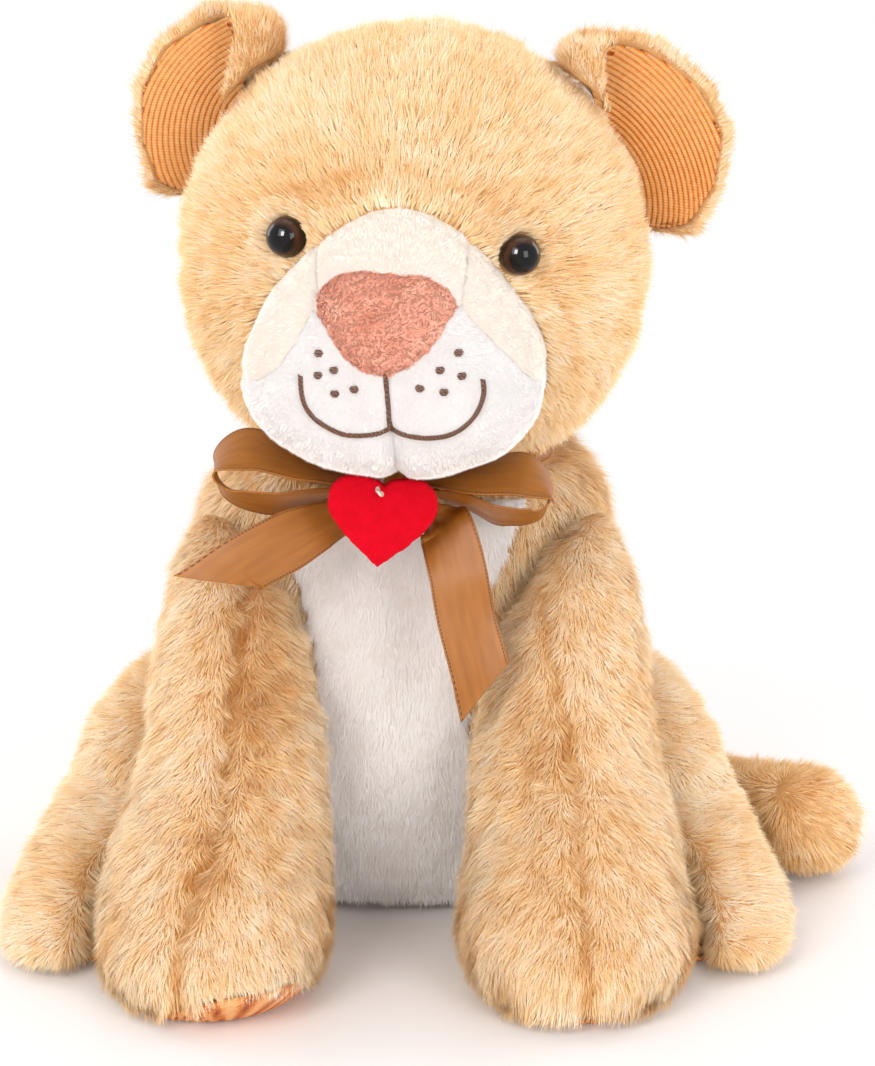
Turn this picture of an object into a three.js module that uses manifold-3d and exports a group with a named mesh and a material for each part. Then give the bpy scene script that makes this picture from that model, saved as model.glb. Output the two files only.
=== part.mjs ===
// A stuffed lion that sits on the floor and looks along -Y. Millimetres, +Z up.
// The origin is on the floor, in the middle of the seat. The lion's own left is +X.
import * as THREE from "three";
import { mergeVertices } from "three/addons/utils/BufferGeometryUtils.js";
import Module from "manifold-3d";

const wasm = await Module();
wasm.setup();

// Clearances and cloths that several pieces share.
const GAP = 0.3;
const OVERRUN = 6;
const PANEL_CLOTH = 2.4;
const SOLE_CLOTH = 1.6;
const LEG_ROOM = 1.2;
const SEAT_DIP = 7;
const WELD = 1e-5;

// The stuffed forms: full width, full depth and height of each, with the place of its middle.
const TORSO = { width: 140, depth: 114, height: 158, x: 0, y: 3 };
const HEAD = { width: 146, depth: 124, height: 132, x: 6, y: -5, low: 138, tilt: 3.7, turn: -4 };
const FRONT_LEG = { width: 73, depth: 76, height: 136, x: 52.5, y: -94 };
const HIND_LEG = { width: 54, depth: 112, height: 82, x: 88, y: -28 };
const TAIL = { rootRadius: 10.5, endRadius: 22.5, reach: 127, back: 54, rise: 2 };
// How far the sitting body leans sideways, as a share of the height.
const LEAN_SHARE = 0.022;

// The face.
const MUZZLE = { width: 83, height: 78, reach: 103, drop: 18.5, root: 30 };
const NOSE = { width: 40, height: 33, swell: 14, x: -1, back: 14.5, rise: 10.3, lean: 38 };
const EYE = {
  diameter: 12, dome: 7.4, x: 33.5, z: 8, rim: 1.5, sunk: 2.2, splay: 17, shank: 4, tip: 1.4, stem: 10,
};
const WASHER = { diameter: 14, thickness: 2, back: 4.5 };
const EAR = {
  thickness: 8, curl: 8, flap: 4.8, lining: 1.3, recess: 1, rim: 4.5, hem: 3, height: 60, y: 14, z: 4,
};
const EAR_SIDE = { left: { x: 41, reach: 52 }, right: { x: 46, reach: 43 } };

// The bow, its tag and the tag's string.
const RIBBON = { width: 20, thickness: 0.9 };
const KNOT = { width: 17, depth: 12.6, height: 12, z: 139 };
const BOW = { reach: 50, stand: 15, rise: 14, drop: 56, slantLeft: 0.35, slantRight: 0.5 };
const COLLAR = { halfX: 46, halfY: 41, x: 3, y: -5, z: 141, height: 12, lean: 2.5 };
const HEART = { width: 32, height: 26.5, thickness: 4, x: -3.6, y: -76, z: 133.5, roll: 5 };
const STRING = { diameter: 1.4, spread: 1.6, bend: 3.2 };

// The white bib of the chest, measured across, and where it starts and ends in height.
const BIB = { low: 3, high: 130, seatHalf: 30, waistHalf: 24, chestHalf: 27.5, topHalf: 40, depth: 70 };

// Joint places, which cuts between moving pieces are worked out from, with ranges in degrees.
const NAPE = { y: 33, z: 140, lift: 10 };
const SHOULDER = { y: -30, z: 116, lift: 10 };
const HIP = { y: 18, z: 44, lift: 10 };
const TAIL_ROOT = { x: 10, y: 48, swing: 30 };
const EAR_FLEX = 8;

// Facets.
const POINT_COUNTS = { torso: 26, head: 28, leg: 20, tail: 14, muzzle: 26, nose: 20, small: 14 };
const RING_COUNTS = {
  torso: 12, head: 12, leg: 11, tail: 11, muzzle: 9, nose: 4, ear: 8, eye: 4, ribbon: 26, knot: 6,
  string: 16,
};

const ACROSS = new THREE.Vector3(1, 0, 0);
const UP = new THREE.Vector3(0, 0, 1);

const TAN = 0xdfb67c;
const COLOURS = {
  fur: TAN, bib: 0xf2eeee, cream: 0xfbf0e2, lip: 0xf7f5f7, nose: 0xd48d74, cord: 0xe79c52,
  eye: 0x120c0a, washer: 0xe8e8e4, ribbon: 0x9c5f22, heart: 0xd80a24, string: 0xe9d9c2,
};

// A table's values at a place between its rows, on a smooth curve that turns level at closed ends.
// A row may leave out its last values, which are then zero.
function rowAt(rows, place) {
  const last = rows.length - 1;
  const index = Math.min(Math.floor(place * last), last - 1);
  const share = place * last - index;
  const columns = Math.max(...rows.map((row) => row.length));
  const full = (row) => Array.from({ length: columns }, (_, column) => row[column] ?? 0);
  const mirror = (value, column) => (column === 1 || column === 2 ? -value : value);
  const mirrored = (next) => full(next).map(mirror);
  const before = index > 0 ? full(rows[index - 1]) : mirrored(rows[1]);
  const after = index < last - 1 ? full(rows[index + 2]) : mirrored(rows[last - 1]);
  const next = full(rows[index + 1]);
  return full(rows[index]).map((start, column) => {
    const end = next[column];
    const rise = (end - before[column]) / 2;
    const fall = (after[column] - start) / 2;
    const a = 2 * start - 2 * end + rise + fall;
    const b = -3 * start + 3 * end - 2 * rise - fall;
    return ((a * share + b) * share + rise) * share + start;
  });
}

// Closed rings of points joined into a skin. Its ends close on a point each, or else straight across, as
// the two edges of a band do.
function skin(rings, first = null, last = null) {
  const count = rings[0].length;
  const points = [...rings.flat(), ...(first ? [first, last] : [])];
  const top = (rings.length - 1) * count;
  const faces = [];
  for (let i = 0; i < count; i += 1) {
    const next = (i + 1) % count;
    for (let low = 0; low < top; low += count) {
      const high = low + count;
      faces.push(low + i, low + next, high + next);
      faces.push(low + i, high + next, high + i);
    }
    if (first) faces.push(points.length - 2, next, i, top + i, top + next, points.length - 1);
  }
  for (let i = 0; !first && i < count / 2 - 1; i += 1) {
    const [there, beyond] = [count - 1 - i, count - 2 - i];
    faces.push(i, beyond, i + 1, i, there, beyond);
    faces.push(top + i, top + i + 1, top + beyond, top + i, top + beyond, top + there);
  }
  const geometry = new THREE.BufferGeometry();
  const numbers = points.flatMap((point) => point.toArray());
  geometry.setAttribute("position", new THREE.Float32BufferAttribute(numbers, 3));
  geometry.setIndex(faces);
  return geometry;
}

// A closed mesh as a solid, placed by a matrix when one is given.
function solid(geometry, matrix = null) {
  const bare = geometry.clone();
  bare.deleteAttribute("normal");
  bare.deleteAttribute("uv");
  const merged = mergeVertices(bare, WELD);
  if (matrix) merged.applyMatrix4(matrix);
  return new wasm.Manifold(new wasm.Mesh({
    numProp: 3,
    vertProperties: new Float32Array(merged.attributes.position.array),
    triVerts: new Uint32Array(merged.index.array),
  }));
}

// The largest body of a solid, so that a cut leaves no crumbs.
function largest(cut) {
  const bodies = cut.decompose();
  return bodies.reduce((best, body) => (body.volume() > best.volume() ? body : best), bodies[0]);
}

// A solid's surface as a mesh.
function surface(cut) {
  const mesh = largest(cut).getMesh();
  const geometry = new THREE.BufferGeometry();
  geometry.setAttribute("position", new THREE.Float32BufferAttribute(mesh.vertProperties, 3));
  geometry.setIndex([...mesh.triVerts]);
  return geometry;
}

// A named piece in its group.
function piece(name, geometry, colour, parent, look = {}) {
  const finish = { color: colour, roughness: 0.9, metalness: 0, ...look };
  const flat = geometry.index ? geometry.toNonIndexed() : geometry;
  flat.computeVertexNormals();
  const mesh = new THREE.Mesh(flat, new THREE.MeshStandardMaterial(finish));
  mesh.name = name;
  parent.add(mesh);
}

// A turn about a line that runs along an axis through a point, in degrees.
function turnAbout(axis, point, degrees) {
  const angle = THREE.MathUtils.degToRad(degrees);
  const turn = new THREE.Matrix4().makeRotationAxis(axis.clone().normalize(), angle);
  const there = new THREE.Matrix4().makeTranslation(point);
  const back = new THREE.Matrix4().makeTranslation(point.clone().negate());
  return there.multiply(turn).multiply(back);
}

// What a piece must leave free while it turns by any of some angles: its neighbour at rest, turned the
// other way, and half way there.
function swept(geometry, axis, point, angles, base = new THREE.Matrix4()) {
  const stops = [0, ...angles.flatMap((angle) => [angle / 2, angle])];
  const places = stops.map((angle) => turnAbout(axis, point, -angle).multiply(base));
  return places.map((place) => solid(geometry, place)).reduce((all, one) => all.add(one));
}

// A rounded oblong ring at one height, turned in plan.
function levelRing(x, y, z, halfX, halfY, turn, count, squareness) {
  return Array.from({ length: count }, (_, i) => {
    const angle = (2 * Math.PI * i) / count;
    const c = Math.sign(Math.cos(angle)) * Math.abs(Math.cos(angle)) ** (2 / squareness) * halfX;
    const s = Math.sign(Math.sin(angle)) * Math.abs(Math.sin(angle)) ** (2 / squareness) * halfY;
    return new THREE.Vector3(c, s, 0).applyAxisAngle(UP, turn).add(new THREE.Vector3(x, y, z));
  });
}

// A stuffed form that stands: each row of its table gives the shares of height, half width, half depth,
// and how far the ring's middle lies sideways and backwards, as shares of the full width and depth.
function stuffed(form, rowShares, size, grow = 0) {
  const { rings, points, base = 0, side = 1, turn = 0, squareness = 2.2, lean = LEAN_SHARE } = size;
  const levels = [];
  const ends = [];
  for (let i = 0; i <= rings; i += 1) {
    const place = (1 - Math.cos((Math.PI * i) / rings)) / 2;
    const [up, wide, deep, aside = 0, behind = 0] = rowAt(rowShares, place);
    const z = base + up * form.height;
    const x = side * (form.x + aside * form.width) + lean * z;
    const y = form.y + behind * form.depth;
    if (i === 0 || i === rings) {
      ends.push(new THREE.Vector3(x, y, z + (i === 0 ? -grow : grow)));
      continue;
    }
    const halfX = (wide * form.width) / 2 + grow;
    const halfY = (deep * form.depth) / 2 + grow;
    levels.push(levelRing(x, y, z + grow * (2 * up - 1), halfX, halfY, side * turn, points, squareness));
  }
  return skin(levels, ends[0], ends[1]);
}

// A block that keeps what lies above the floor.
function aboveFloor(lift = 0) {
  const size = TORSO.height + HEAD.height + TORSO.width * 2;
  const block = new THREE.BoxGeometry(size, size, size);
  block.translate(0, 0, size / 2 + lift);
  return solid(block);
}

const TORSO_SHARES = [
  [0, 0, 0], [0.012, 0.72, 0.74], [0.12, 0.95, 0.97, 0, 0.01], [0.32, 1, 1, 0, 0],
  [0.52, 0.98, 0.93, 0, -0.015], [0.7, 0.97, 0.84, 0, -0.03], [0.84, 0.93, 0.77, 0, -0.045],
  [0.945, 0.7, 0.62, 0, -0.04], [1, 0, 0, 0, -0.03],
];
function torsoForm(grow = 0) {
  const size = { rings: RING_COUNTS.torso, points: POINT_COUNTS.torso, base: -SEAT_DIP };
  return stuffed(TORSO, TORSO_SHARES, size, grow);
}

const HEAD_SHARES = [
  [0, 0, 0], [0.03, 0.6, 0.6], [0.14, 0.83, 0.82], [0.27, 0.95, 0.93], [0.42, 1, 1], [0.58, 0.975, 0.985],
  [0.74, 0.86, 0.9], [0.88, 0.6, 0.67], [0.97, 0.3, 0.34], [1, 0, 0],
];
const HEAD_CENTRE = { ...HEAD, x: 0, y: 0 };
function headForm(grow = 0) {
  const size = {
    rings: RING_COUNTS.head, points: POINT_COUNTS.head, base: -HEAD.height / 2, squareness: 2.15, lean: 0,
  };
  return stuffed(HEAD_CENTRE, HEAD_SHARES, size, grow);
}

const FRONT_LEG_SHARES = [
  [0, 0, 0, 0, -0.06], [0.015, 0.78, 0.84, 0, -0.06], [0.12, 0.97, 1.12, 0.01, -0.08],
  [0.24, 1, 1.09, 0.01, -0.04], [0.37, 0.9, 0.9, -0.01, 0.12], [0.52, 0.8, 0.75, -0.04, 0.34],
  [0.68, 0.7, 0.69, -0.03, 0.52], [0.84, 0.53, 0.58, 0.01, 0.68], [0.95, 0.3, 0.36, 0.04, 0.79],
  [1, 0, 0, 0.05, 0.84],
];
function frontLegForm(side, grow = 0) {
  const size = { rings: RING_COUNTS.leg, points: POINT_COUNTS.leg, base: -SEAT_DIP, side };
  return stuffed(FRONT_LEG, FRONT_LEG_SHARES, size, grow);
}

const HIND_LEG_SHARES = [
  [0, 0, 0, 0.09, -0.15], [0.02, 0.72, 0.8, 0.09, -0.15], [0.18, 1, 1.08, 0.08, -0.15],
  [0.36, 0.9, 0.98, 0, -0.06], [0.55, 0.84, 0.78, -0.18, 0.1], [0.76, 0.84, 0.66, -0.26, 0.16],
  [0.93, 0.5, 0.42, -0.32, 0.18], [1, 0, 0, -0.34, 0.18],
];
const HIND_SPLAY = Math.PI / 16;
function hindLegForm(side, grow = 0) {
  const size = { rings: RING_COUNTS.leg, points: POINT_COUNTS.leg, base: -SEAT_DIP, side, turn: HIND_SPLAY };
  return stuffed(HIND_LEG, HIND_LEG_SHARES, size, grow);
}

// The tail starts at the back of the seat and comes round beside the left hind leg.
const TAIL_ROUTE_SHARES = [
  [0.08, 0.8], [0.3, 1.06], [0.56, 0.92], [0.8, 0.42], [0.98, -0.12], [1.1, -0.48],
];
const TAIL_END_SHARE = 0.75;
function tailRadius(place) {
  return TAIL.rootRadius + (TAIL.endRadius - TAIL.rootRadius) * place ** 2.6;
}
function tailForm(grow = 0) {
  const route = new THREE.CatmullRomCurve3(TAIL_ROUTE_SHARES.map(([across, back], i) => {
    const place = i / (TAIL_ROUTE_SHARES.length - 1);
    const lift = TAIL.rise * (1 - place) ** 2;
    return new THREE.Vector3(across * TAIL.reach, back * TAIL.back, tailRadius(place) + lift);
  }));
  const levels = [];
  for (let i = 1; i < RING_COUNTS.tail; i += 1) {
    const place = (1 - Math.cos((Math.PI * i) / RING_COUNTS.tail)) / 2;
    const centre = route.getPointAt(place);
    const along = route.getTangentAt(place);
    const across = UP.clone().cross(along).normalize();
    const up = along.clone().cross(across);
    const full = tailRadius(place);
    const fromEnd = Math.min((1 - place) * route.getLength() / (full * TAIL_END_SHARE), 1);
    const radius = full * Math.sqrt(1 - (1 - fromEnd) ** 2) + grow;
    levels.push(Array.from({ length: POINT_COUNTS.tail }, (_, k) => {
      const angle = (2 * Math.PI * k) / POINT_COUNTS.tail;
      return centre.clone().addScaledVector(across, radius * Math.cos(angle))
        .addScaledVector(up, radius * Math.sin(angle));
    }));
  }
  return skin(levels, route.getPointAt(0), route.getPointAt(1).addScaledVector(route.getTangentAt(1), grow));
}

// The muzzle stands out of the face along -Y. Its rings are egg shaped, with the narrow end up.
const MUZZLE_SHARES = [
  [0, 0, 0], [0.02, 0.9, 0.9, 0.03], [0.34, 1, 1, 0], [0.6, 0.97, 0.93, -0.01],
  [0.8, 0.84, 0.78, -0.03], [0.93, 0.58, 0.52, -0.05], [1, 0, 0, -0.06],
];
const EGG_SHARE = 0.32;
function muzzleForm(grow = 0) {
  const levels = [];
  const ends = [];
  for (let i = 0; i <= RING_COUNTS.muzzle; i += 1) {
    const place = (1 - Math.cos((Math.PI * i) / RING_COUNTS.muzzle)) / 2;
    const [out, wide, high, rise = 0] = rowAt(MUZZLE_SHARES, place);
    const y = -MUZZLE.root - out * (MUZZLE.reach - MUZZLE.root);
    const z = -MUZZLE.drop + rise * MUZZLE.height;
    if (i === 0 || i === RING_COUNTS.muzzle) {
      ends.push(new THREE.Vector3(0, y + (i === 0 ? grow : -grow), z));
      continue;
    }
    levels.push(Array.from({ length: POINT_COUNTS.muzzle }, (_, k) => {
      const angle = (2 * Math.PI * k) / POINT_COUNTS.muzzle;
      const narrow = 1 - EGG_SHARE * Math.sin(angle);
      const x = ((wide * MUZZLE.width) / 2 + grow) * Math.cos(angle) * narrow;
      const up = ((high * MUZZLE.height) / 2 + grow) * Math.sin(angle);
      return new THREE.Vector3(x, y - grow * (2 * out - 1), z + up);
    }));
  }
  return skin(levels, ends[0], ends[1]);
}

// A prism with an outline in X and Z that runs along Y from one depth to another.
function frontPrism(outline, near, far) {
  const shape = new THREE.Shape(outline.map(([x, z]) => new THREE.Vector2(x, z)));
  const geometry = new THREE.ExtrudeGeometry(shape, { depth: far - near, bevelEnabled: false });
  geometry.rotateX(Math.PI / 2);
  geometry.translate(0, far, 0);
  return solid(geometry);
}

const lion = new THREE.Group();
const head = new THREE.Group();
head.position.set(HEAD.x, HEAD.y, HEAD.low + HEAD.height / 2);
head.rotation.order = "ZYX";
head.rotation.y = THREE.MathUtils.degToRad(HEAD.tilt);
head.rotation.z = THREE.MathUtils.degToRad(HEAD.turn);
lion.add(head);
head.updateMatrixWorld(true);
const toHead = head.matrixWorld.clone().invert();

// The outline of the chest's white bib, from its seat to its shoulders.
const BIB_RISE_SHARES = [0, 0.4, 0.72, 1];
function bibOutline(grow) {
  const low = BIB.low - grow;
  const tall = BIB.high + grow - low;
  const halves = [BIB.seatHalf, BIB.waistHalf, BIB.chestHalf, BIB.topHalf];
  const rise = (i) => low + BIB_RISE_SHARES[i] * tall;
  const edge = new THREE.SplineCurve(halves.map((half, i) => new THREE.Vector2(half + grow, rise(i))));
  const curve = edge.getPoints(RING_COUNTS.torso).map((point) => [point.x, point.y]);
  return [...curve, ...curve.map(([x, z]) => [-x, z]).reverse()];
}

// The ribbon collar: a leaning band round the neck.
function collarForm(grow = 0) {
  const halfWall = RIBBON.thickness / 2 + grow;
  const top = COLLAR.height / 2 + grow;
  const lean = COLLAR.lean / 2;
  const radius = COLLAR.halfX;
  const profile = [
    [radius - lean - halfWall, -top], [radius - lean + halfWall, -top],
    [radius + lean + halfWall, top], [radius + lean - halfWall, top],
  ];
  const closed = [...profile, profile[0]].map(([r, z]) => new THREE.Vector2(r, z));
  const band = new THREE.LatheGeometry(closed, POINT_COUNTS.head);
  band.rotateX(Math.PI / 2);
  band.scale(1, COLLAR.halfY / COLLAR.halfX, 1);
  band.translate(COLLAR.x, COLLAR.y, COLLAR.z);
  return band;
}

// The neck's room under the head: the collar as a full disc.
function collarRoom() {
  const radius = COLLAR.halfX + (RIBBON.thickness + COLLAR.lean) / 2 + GAP * 2;
  const height = COLLAR.height + GAP * 2;
  const disc = new THREE.CylinderGeometry(radius, radius, height, POINT_COUNTS.head);
  disc.rotateX(Math.PI / 2);
  disc.scale(1, COLLAR.halfY / COLLAR.halfX, 1);
  disc.translate(COLLAR.x, COLLAR.y, COLLAR.z);
  return disc;
}

// The torso with its bib, its seat cut flat, and grooves for the collar.
function makeTorso() {
  const whole = solid(torsoForm()).intersect(aboveFloor());
  const core = solid(torsoForm(-PANEL_CLOTH));
  const innerCore = solid(torsoForm(-PANEL_CLOTH - GAP));
  const near = -BIB.depth;
  const groove = solid(collarForm(GAP));
  const bib = whole.intersect(frontPrism(bibOutline(0), near, 0)).subtract(core).subtract(groove);
  const recess = frontPrism(bibOutline(GAP), near, 0).subtract(innerCore);
  const body = whole.subtract(recess).subtract(groove);
  piece("body", surface(body), COLOURS.fur, lion);
  piece("chest_bib", surface(bib), COLOURS.bib, lion);
}

// The soles' middles and half sizes, as shares of the width and the depth of their legs.
const FRONT_SOLE_SHARES = { x: 0.01, y: -0.08, halfX: 0.37, halfY: 0.43 };
const HIND_SOLE_SHARES = { x: 0.1, y: -0.2, halfX: 0.34, halfY: 0.33 };

// A leg with its corduroy sole let into the floor side.
function makeLeg(name, form, joint, side, size, soleShares, nearLeg = null) {
  const whole = solid(form(side)).intersect(aboveFloor());
  const [x, halfX] = [soleShares.x * size.width, soleShares.halfX * size.width];
  const [y, halfY] = [soleShares.y * size.depth, soleShares.halfY * size.depth];
  const sole = new THREE.CylinderGeometry(1, 1, (SOLE_CLOTH + OVERRUN) * 2, POINT_COUNTS.leg);
  sole.rotateX(Math.PI / 2);
  const patch = (grow) => {
    const stretch = new THREE.Matrix4().makeScale(halfX + grow, halfY + grow, 1);
    return solid(sole, stretch.setPosition(side * (size.x + x), size.y + y, 0));
  };
  const inside = (grow) => solid(form(side, -grow)).intersect(aboveFloor(grow));
  const room = nearLeg ? nearLeg(side) : null;
  let soleCloth = whole.intersect(patch(0)).subtract(inside(SOLE_CLOTH));
  if (room) soleCloth = soleCloth.subtract(room);
  let leg = whole.subtract(patch(GAP).subtract(inside(SOLE_CLOTH + GAP)));
  const line = new THREE.Vector3(0, joint.y, joint.z);
  leg = leg.subtract(swept(torsoForm(GAP * 2), ACROSS, line, [-joint.lift]));
  if (room) leg = leg.subtract(room);
  piece(name, surface(leg), COLOURS.fur, lion);
  piece(name.replace("leg", "sole"), surface(soleCloth), COLOURS.cord, lion);
}

// The room that a hind leg leaves free for the front leg beside it, while either of them lifts.
function frontLegRoom(side) {
  const hip = new THREE.Vector3(0, HIP.y, HIP.z);
  const shoulder = new THREE.Vector3(0, SHOULDER.y, SHOULDER.z);
  const front = frontLegForm(side, GAP + LEG_ROOM);
  return swept(front, ACROSS, hip, [-HIP.lift]).add(swept(front, ACROSS, shoulder, [SHOULDER.lift]));
}

// The two legs of one side.
function makeLegs(side, word) {
  makeLeg(`front_leg_${word}`, frontLegForm, SHOULDER, side, FRONT_LEG, FRONT_SOLE_SHARES);
  makeLeg(`hind_leg_${word}`, hindLegForm, HIP, side, HIND_LEG, HIND_SOLE_SHARES, frontLegRoom);
}

// The seams of the muzzle's panels, as shares of its half width and half height, seen from the front.
const LIP_SEAM_SHARES = [[1.4, -0.28], [0.93, -0.26], [0.7, -0.04], [0.47, 0.41], [0, 0.2]];
const BRIDGE_SEAM_SHARES = [[0.47, 0.41], [0.54, 0.8], [0.5, 1.5]];
const LIP_REST_SHARES = [[0, -1.5], [1.4, -1.5]];
const CHEEK_REST_SHARES = [[1.4, 1.5]];

// Points given as shares of the muzzle's half width and half height, in millimetres.
function onMuzzle(shares, side = 1) {
  return shares.map(([x, z]) => [(side * x * MUZZLE.width) / 2, (z * MUZZLE.height) / 2 - MUZZLE.drop]);
}

// The outlines of the muzzle's panels, seen from the front.
function panelOutlines() {
  const lip = (side) => onMuzzle([...LIP_SEAM_SHARES, ...LIP_REST_SHARES], side);
  const seamShares = [...LIP_SEAM_SHARES.slice(0, -1), ...BRIDGE_SEAM_SHARES.slice(1)];
  const cheekShares = [...seamShares, ...CHEEK_REST_SHARES];
  const bridgeShares = [...BRIDGE_SEAM_SHARES.toReversed(), ...LIP_SEAM_SHARES.slice(-1)];
  const bridge = [...onMuzzle(bridgeShares), ...onMuzzle(BRIDGE_SEAM_SHARES, -1)];
  return {
    muzzle_bridge: [bridge, COLOURS.cream],
    muzzle_cheek_left: [onMuzzle(cheekShares), COLOURS.cream],
    muzzle_cheek_right: [onMuzzle(cheekShares, -1), COLOURS.cream],
    muzzle_lip_left: [lip(1), COLOURS.lip],
    muzzle_lip_right: [lip(-1), COLOURS.lip],
  };
}

// Moves every side of an outline inwards by one distance.
function drawnIn(outline, distance) {
  const points = outline.map(([x, z]) => new THREE.Vector2(x, z));
  const clockwise = THREE.ShapeUtils.isClockWise(points) ? 1 : -1;
  return points.map((here, i) => {
    const before = points[(i + points.length - 1) % points.length];
    const after = points[(i + 1) % points.length];
    const inward = (a, b) => new THREE.Vector2(b.y - a.y, a.x - b.x).normalize();
    const inNormal = (a, b) => inward(a, b).multiplyScalar(clockwise);
    const first = inNormal(before, here);
    const normal = first.clone().add(inNormal(here, after)).normalize();
    return here.clone().addScaledVector(normal, distance / Math.max(normal.dot(first), 0.5)).toArray();
  });
}

// A small turned piece, from a profile of radii and heights.
function turned(profile) {
  const points = profile.map(([r, z]) => new THREE.Vector2(r, z));
  const form = new THREE.LatheGeometry(points, POINT_COUNTS.small);
  form.rotateX(Math.PI / 2);
  return form;
}

// An eye's dome and its ridged stem, along Z with the dome up.
function eyeForm(grow = 0) {
  const radius = EYE.diameter / 2 + grow;
  const stem = EYE.shank / 2 + grow;
  const low = -EYE.stem - grow;
  const profile = [[0, low], [EYE.tip + grow, low], [stem, low + stem], [stem, -grow], [radius, -grow]];
  for (let i = 0; i <= RING_COUNTS.eye; i += 1) {
    const angle = ((Math.PI / 2) * i) / RING_COUNTS.eye;
    const height = EYE.rim + (EYE.dome - EYE.rim + grow) * Math.sin(angle);
    profile.push([i === RING_COUNTS.eye ? 0 : radius * Math.cos(angle), height]);
  }
  return turned(profile);
}

// The washer pressed on the eye's stem inside the head, or the pocket that it lies in.
function washerForm(grow = 0) {
  const outer = WASHER.diameter / 2 + grow;
  const inner = grow > 0 ? 0 : EYE.shank / 2 + GAP;
  const half = WASHER.thickness / 2 + grow;
  const profile = [[inner, -half], [outer, -half], [outer, half], [inner, half]];
  if (inner > 0) profile.push(profile[0]);
  const form = turned(profile);
  form.translate(0, 0, -WASHER.back - WASHER.thickness / 2);
  return form;
}

// Where an eye sits on the face: its flat back faces the head, and its dome looks forward and outward.
function eyePlace(side) {
  const level = 1 - (EYE.x / (HEAD.width / 2)) ** 2 - (EYE.z / (HEAD.height / 2)) ** 2;
  const y = EYE.sunk - (HEAD.depth / 2) * Math.sqrt(level);
  const out = THREE.MathUtils.degToRad(side * EYE.splay);
  const place = new THREE.Matrix4().makeRotationFromEuler(new THREE.Euler(Math.PI / 2, 0, out, "ZYX"));
  return place.setPosition(side * EYE.x, y, EYE.z);
}

// The nose is a soft pad with a rounded three-cornered outline, one corner down.
const NOSE_CORNER_SHARE = 0.1;
function noseForm() {
  const count = POINT_COUNTS.nose;
  const outline = (scale, height) => Array.from({ length: count }, (_, k) => {
    const turn = (2 * Math.PI * k) / count;
    const x = Math.cos(turn) + NOSE_CORNER_SHARE * Math.sin(2 * turn);
    const z = Math.sin(turn) + NOSE_CORNER_SHARE * Math.cos(2 * turn);
    return new THREE.Vector3((x * scale * NOSE.width) / 2, (z * scale * NOSE.height) / 2, height);
  });
  const rings = [outline(1, -NOSE.swell)];
  for (let i = 0; i < RING_COUNTS.nose; i += 1) {
    const angle = ((Math.PI / 2) * i) / RING_COUNTS.nose;
    rings.push(outline(Math.cos(angle) ** 0.8, NOSE.swell * Math.sin(angle)));
  }
  const form = skin(rings, new THREE.Vector3(0, 0, -NOSE.swell), new THREE.Vector3(0, 0, NOSE.swell));
  const place = new THREE.Matrix4().makeRotationX(THREE.MathUtils.degToRad(90 - NOSE.lean));
  return form.applyMatrix4(place.setPosition(NOSE.x, NOSE.back - MUZZLE.reach, NOSE.rise - MUZZLE.drop));
}

// Each row of an ear's table gives the share of its height, then how far out its rim and its front fold
// lie, as shares of its reach. The fold turns the ear's inner edge forward over its lining.
const EAR_SHARES = [
  [0, 0.7, 0.12], [0.07, 0.86, 0.12], [0.25, 0.96, 0.1], [0.45, 1, 0.07], [0.65, 0.95, 0.04],
  [0.8, 0.83, 0], [0.92, 0.64, 0], [1, 0.42, 0.06],
];
const EAR_HOLLOW_SHARE = 0.17;
function earLine(rim, fold, hem) {
  const r = EAR.curl;
  const flat = rim - fold - r;
  const points = [];
  for (let i = 2; i >= 0; i -= 1) {
    points.push(new THREE.Vector2(fold + r + ((EAR.flap + hem) * i) / 2, EAR.y - 2 * r));
  }
  for (let i = 1; i <= 5; i += 1) {
    const angle = -Math.PI / 2 - (Math.PI * i) / 5;
    points.push(new THREE.Vector2(fold + r + r * Math.cos(angle), EAR.y - r + r * Math.sin(angle)));
  }
  for (let i = 1; i <= 6; i += 1) {
    const share = i / 6;
    const forward = EAR_HOLLOW_SHARE * flat * share ** 2;
    points.push(new THREE.Vector2(fold + r + flat * share, EAR.y - forward));
  }
  return points;
}

// A band that follows a line in plan, as a ring of points at one height. Distances count towards its
// hollow side.
function bandRing(line, from, to, z, side) {
  const edge = (distance) => line.map((point, i) => {
    const before = line[Math.max(i - 1, 0)];
    const after = line[Math.min(i + 1, line.length - 1)];
    const along = after.clone().sub(before).normalize();
    return new THREE.Vector3(side * (point.x + along.y * distance), point.y - along.x * distance, z);
  });
  const ring = [...edge(from), ...edge(to).reverse()];
  return side > 0 ? ring.reverse() : ring;
}

// An ear's shell, or its lining when it is drawn in from the rim, in the head's own frame.
function earForm(side, { from, to, inset = 0, hem = 0, endShare = 1 }) {
  const rings = [];
  const place = EAR_SIDE[side > 0 ? "left" : "right"];
  for (let i = 0; i <= RING_COUNTS.ear; i += 1) {
    const along = (1 - Math.cos((Math.PI * i) / RING_COUNTS.ear)) / 2;
    const [up, reach, fold] = rowAt(EAR_SHARES, along);
    const line = earLine(place.x + reach * place.reach - inset, place.x + fold * place.reach, hem);
    const thin = 1 - (1 - endShare) * Math.abs(2 * along - 1) ** 4;
    const half = (to - from) / 2;
    const mid = (to + from) / 2;
    const height = EAR.z + inset + up * (EAR.height - 2 * inset);
    rings.push(bandRing(line, mid - half * thin, mid + half * thin, height, side));
  }
  return skin(rings);
}

// The line that an ear flexes about, along its seam with the head. The shares are of its reach.
const EAR_SEAM_SHARES = { low: 0.58, high: 0.1 };
function earHinge(side) {
  const { x, reach } = EAR_SIDE[side > 0 ? "left" : "right"];
  const low = new THREE.Vector3(side * (x + reach * EAR_SEAM_SHARES.low), EAR.y, EAR.z);
  const high = new THREE.Vector3(side * (x + reach * EAR_SEAM_SHARES.high), EAR.y, EAR.z + EAR.height);
  return { point: low, axis: high.sub(low).normalize() };
}

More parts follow.
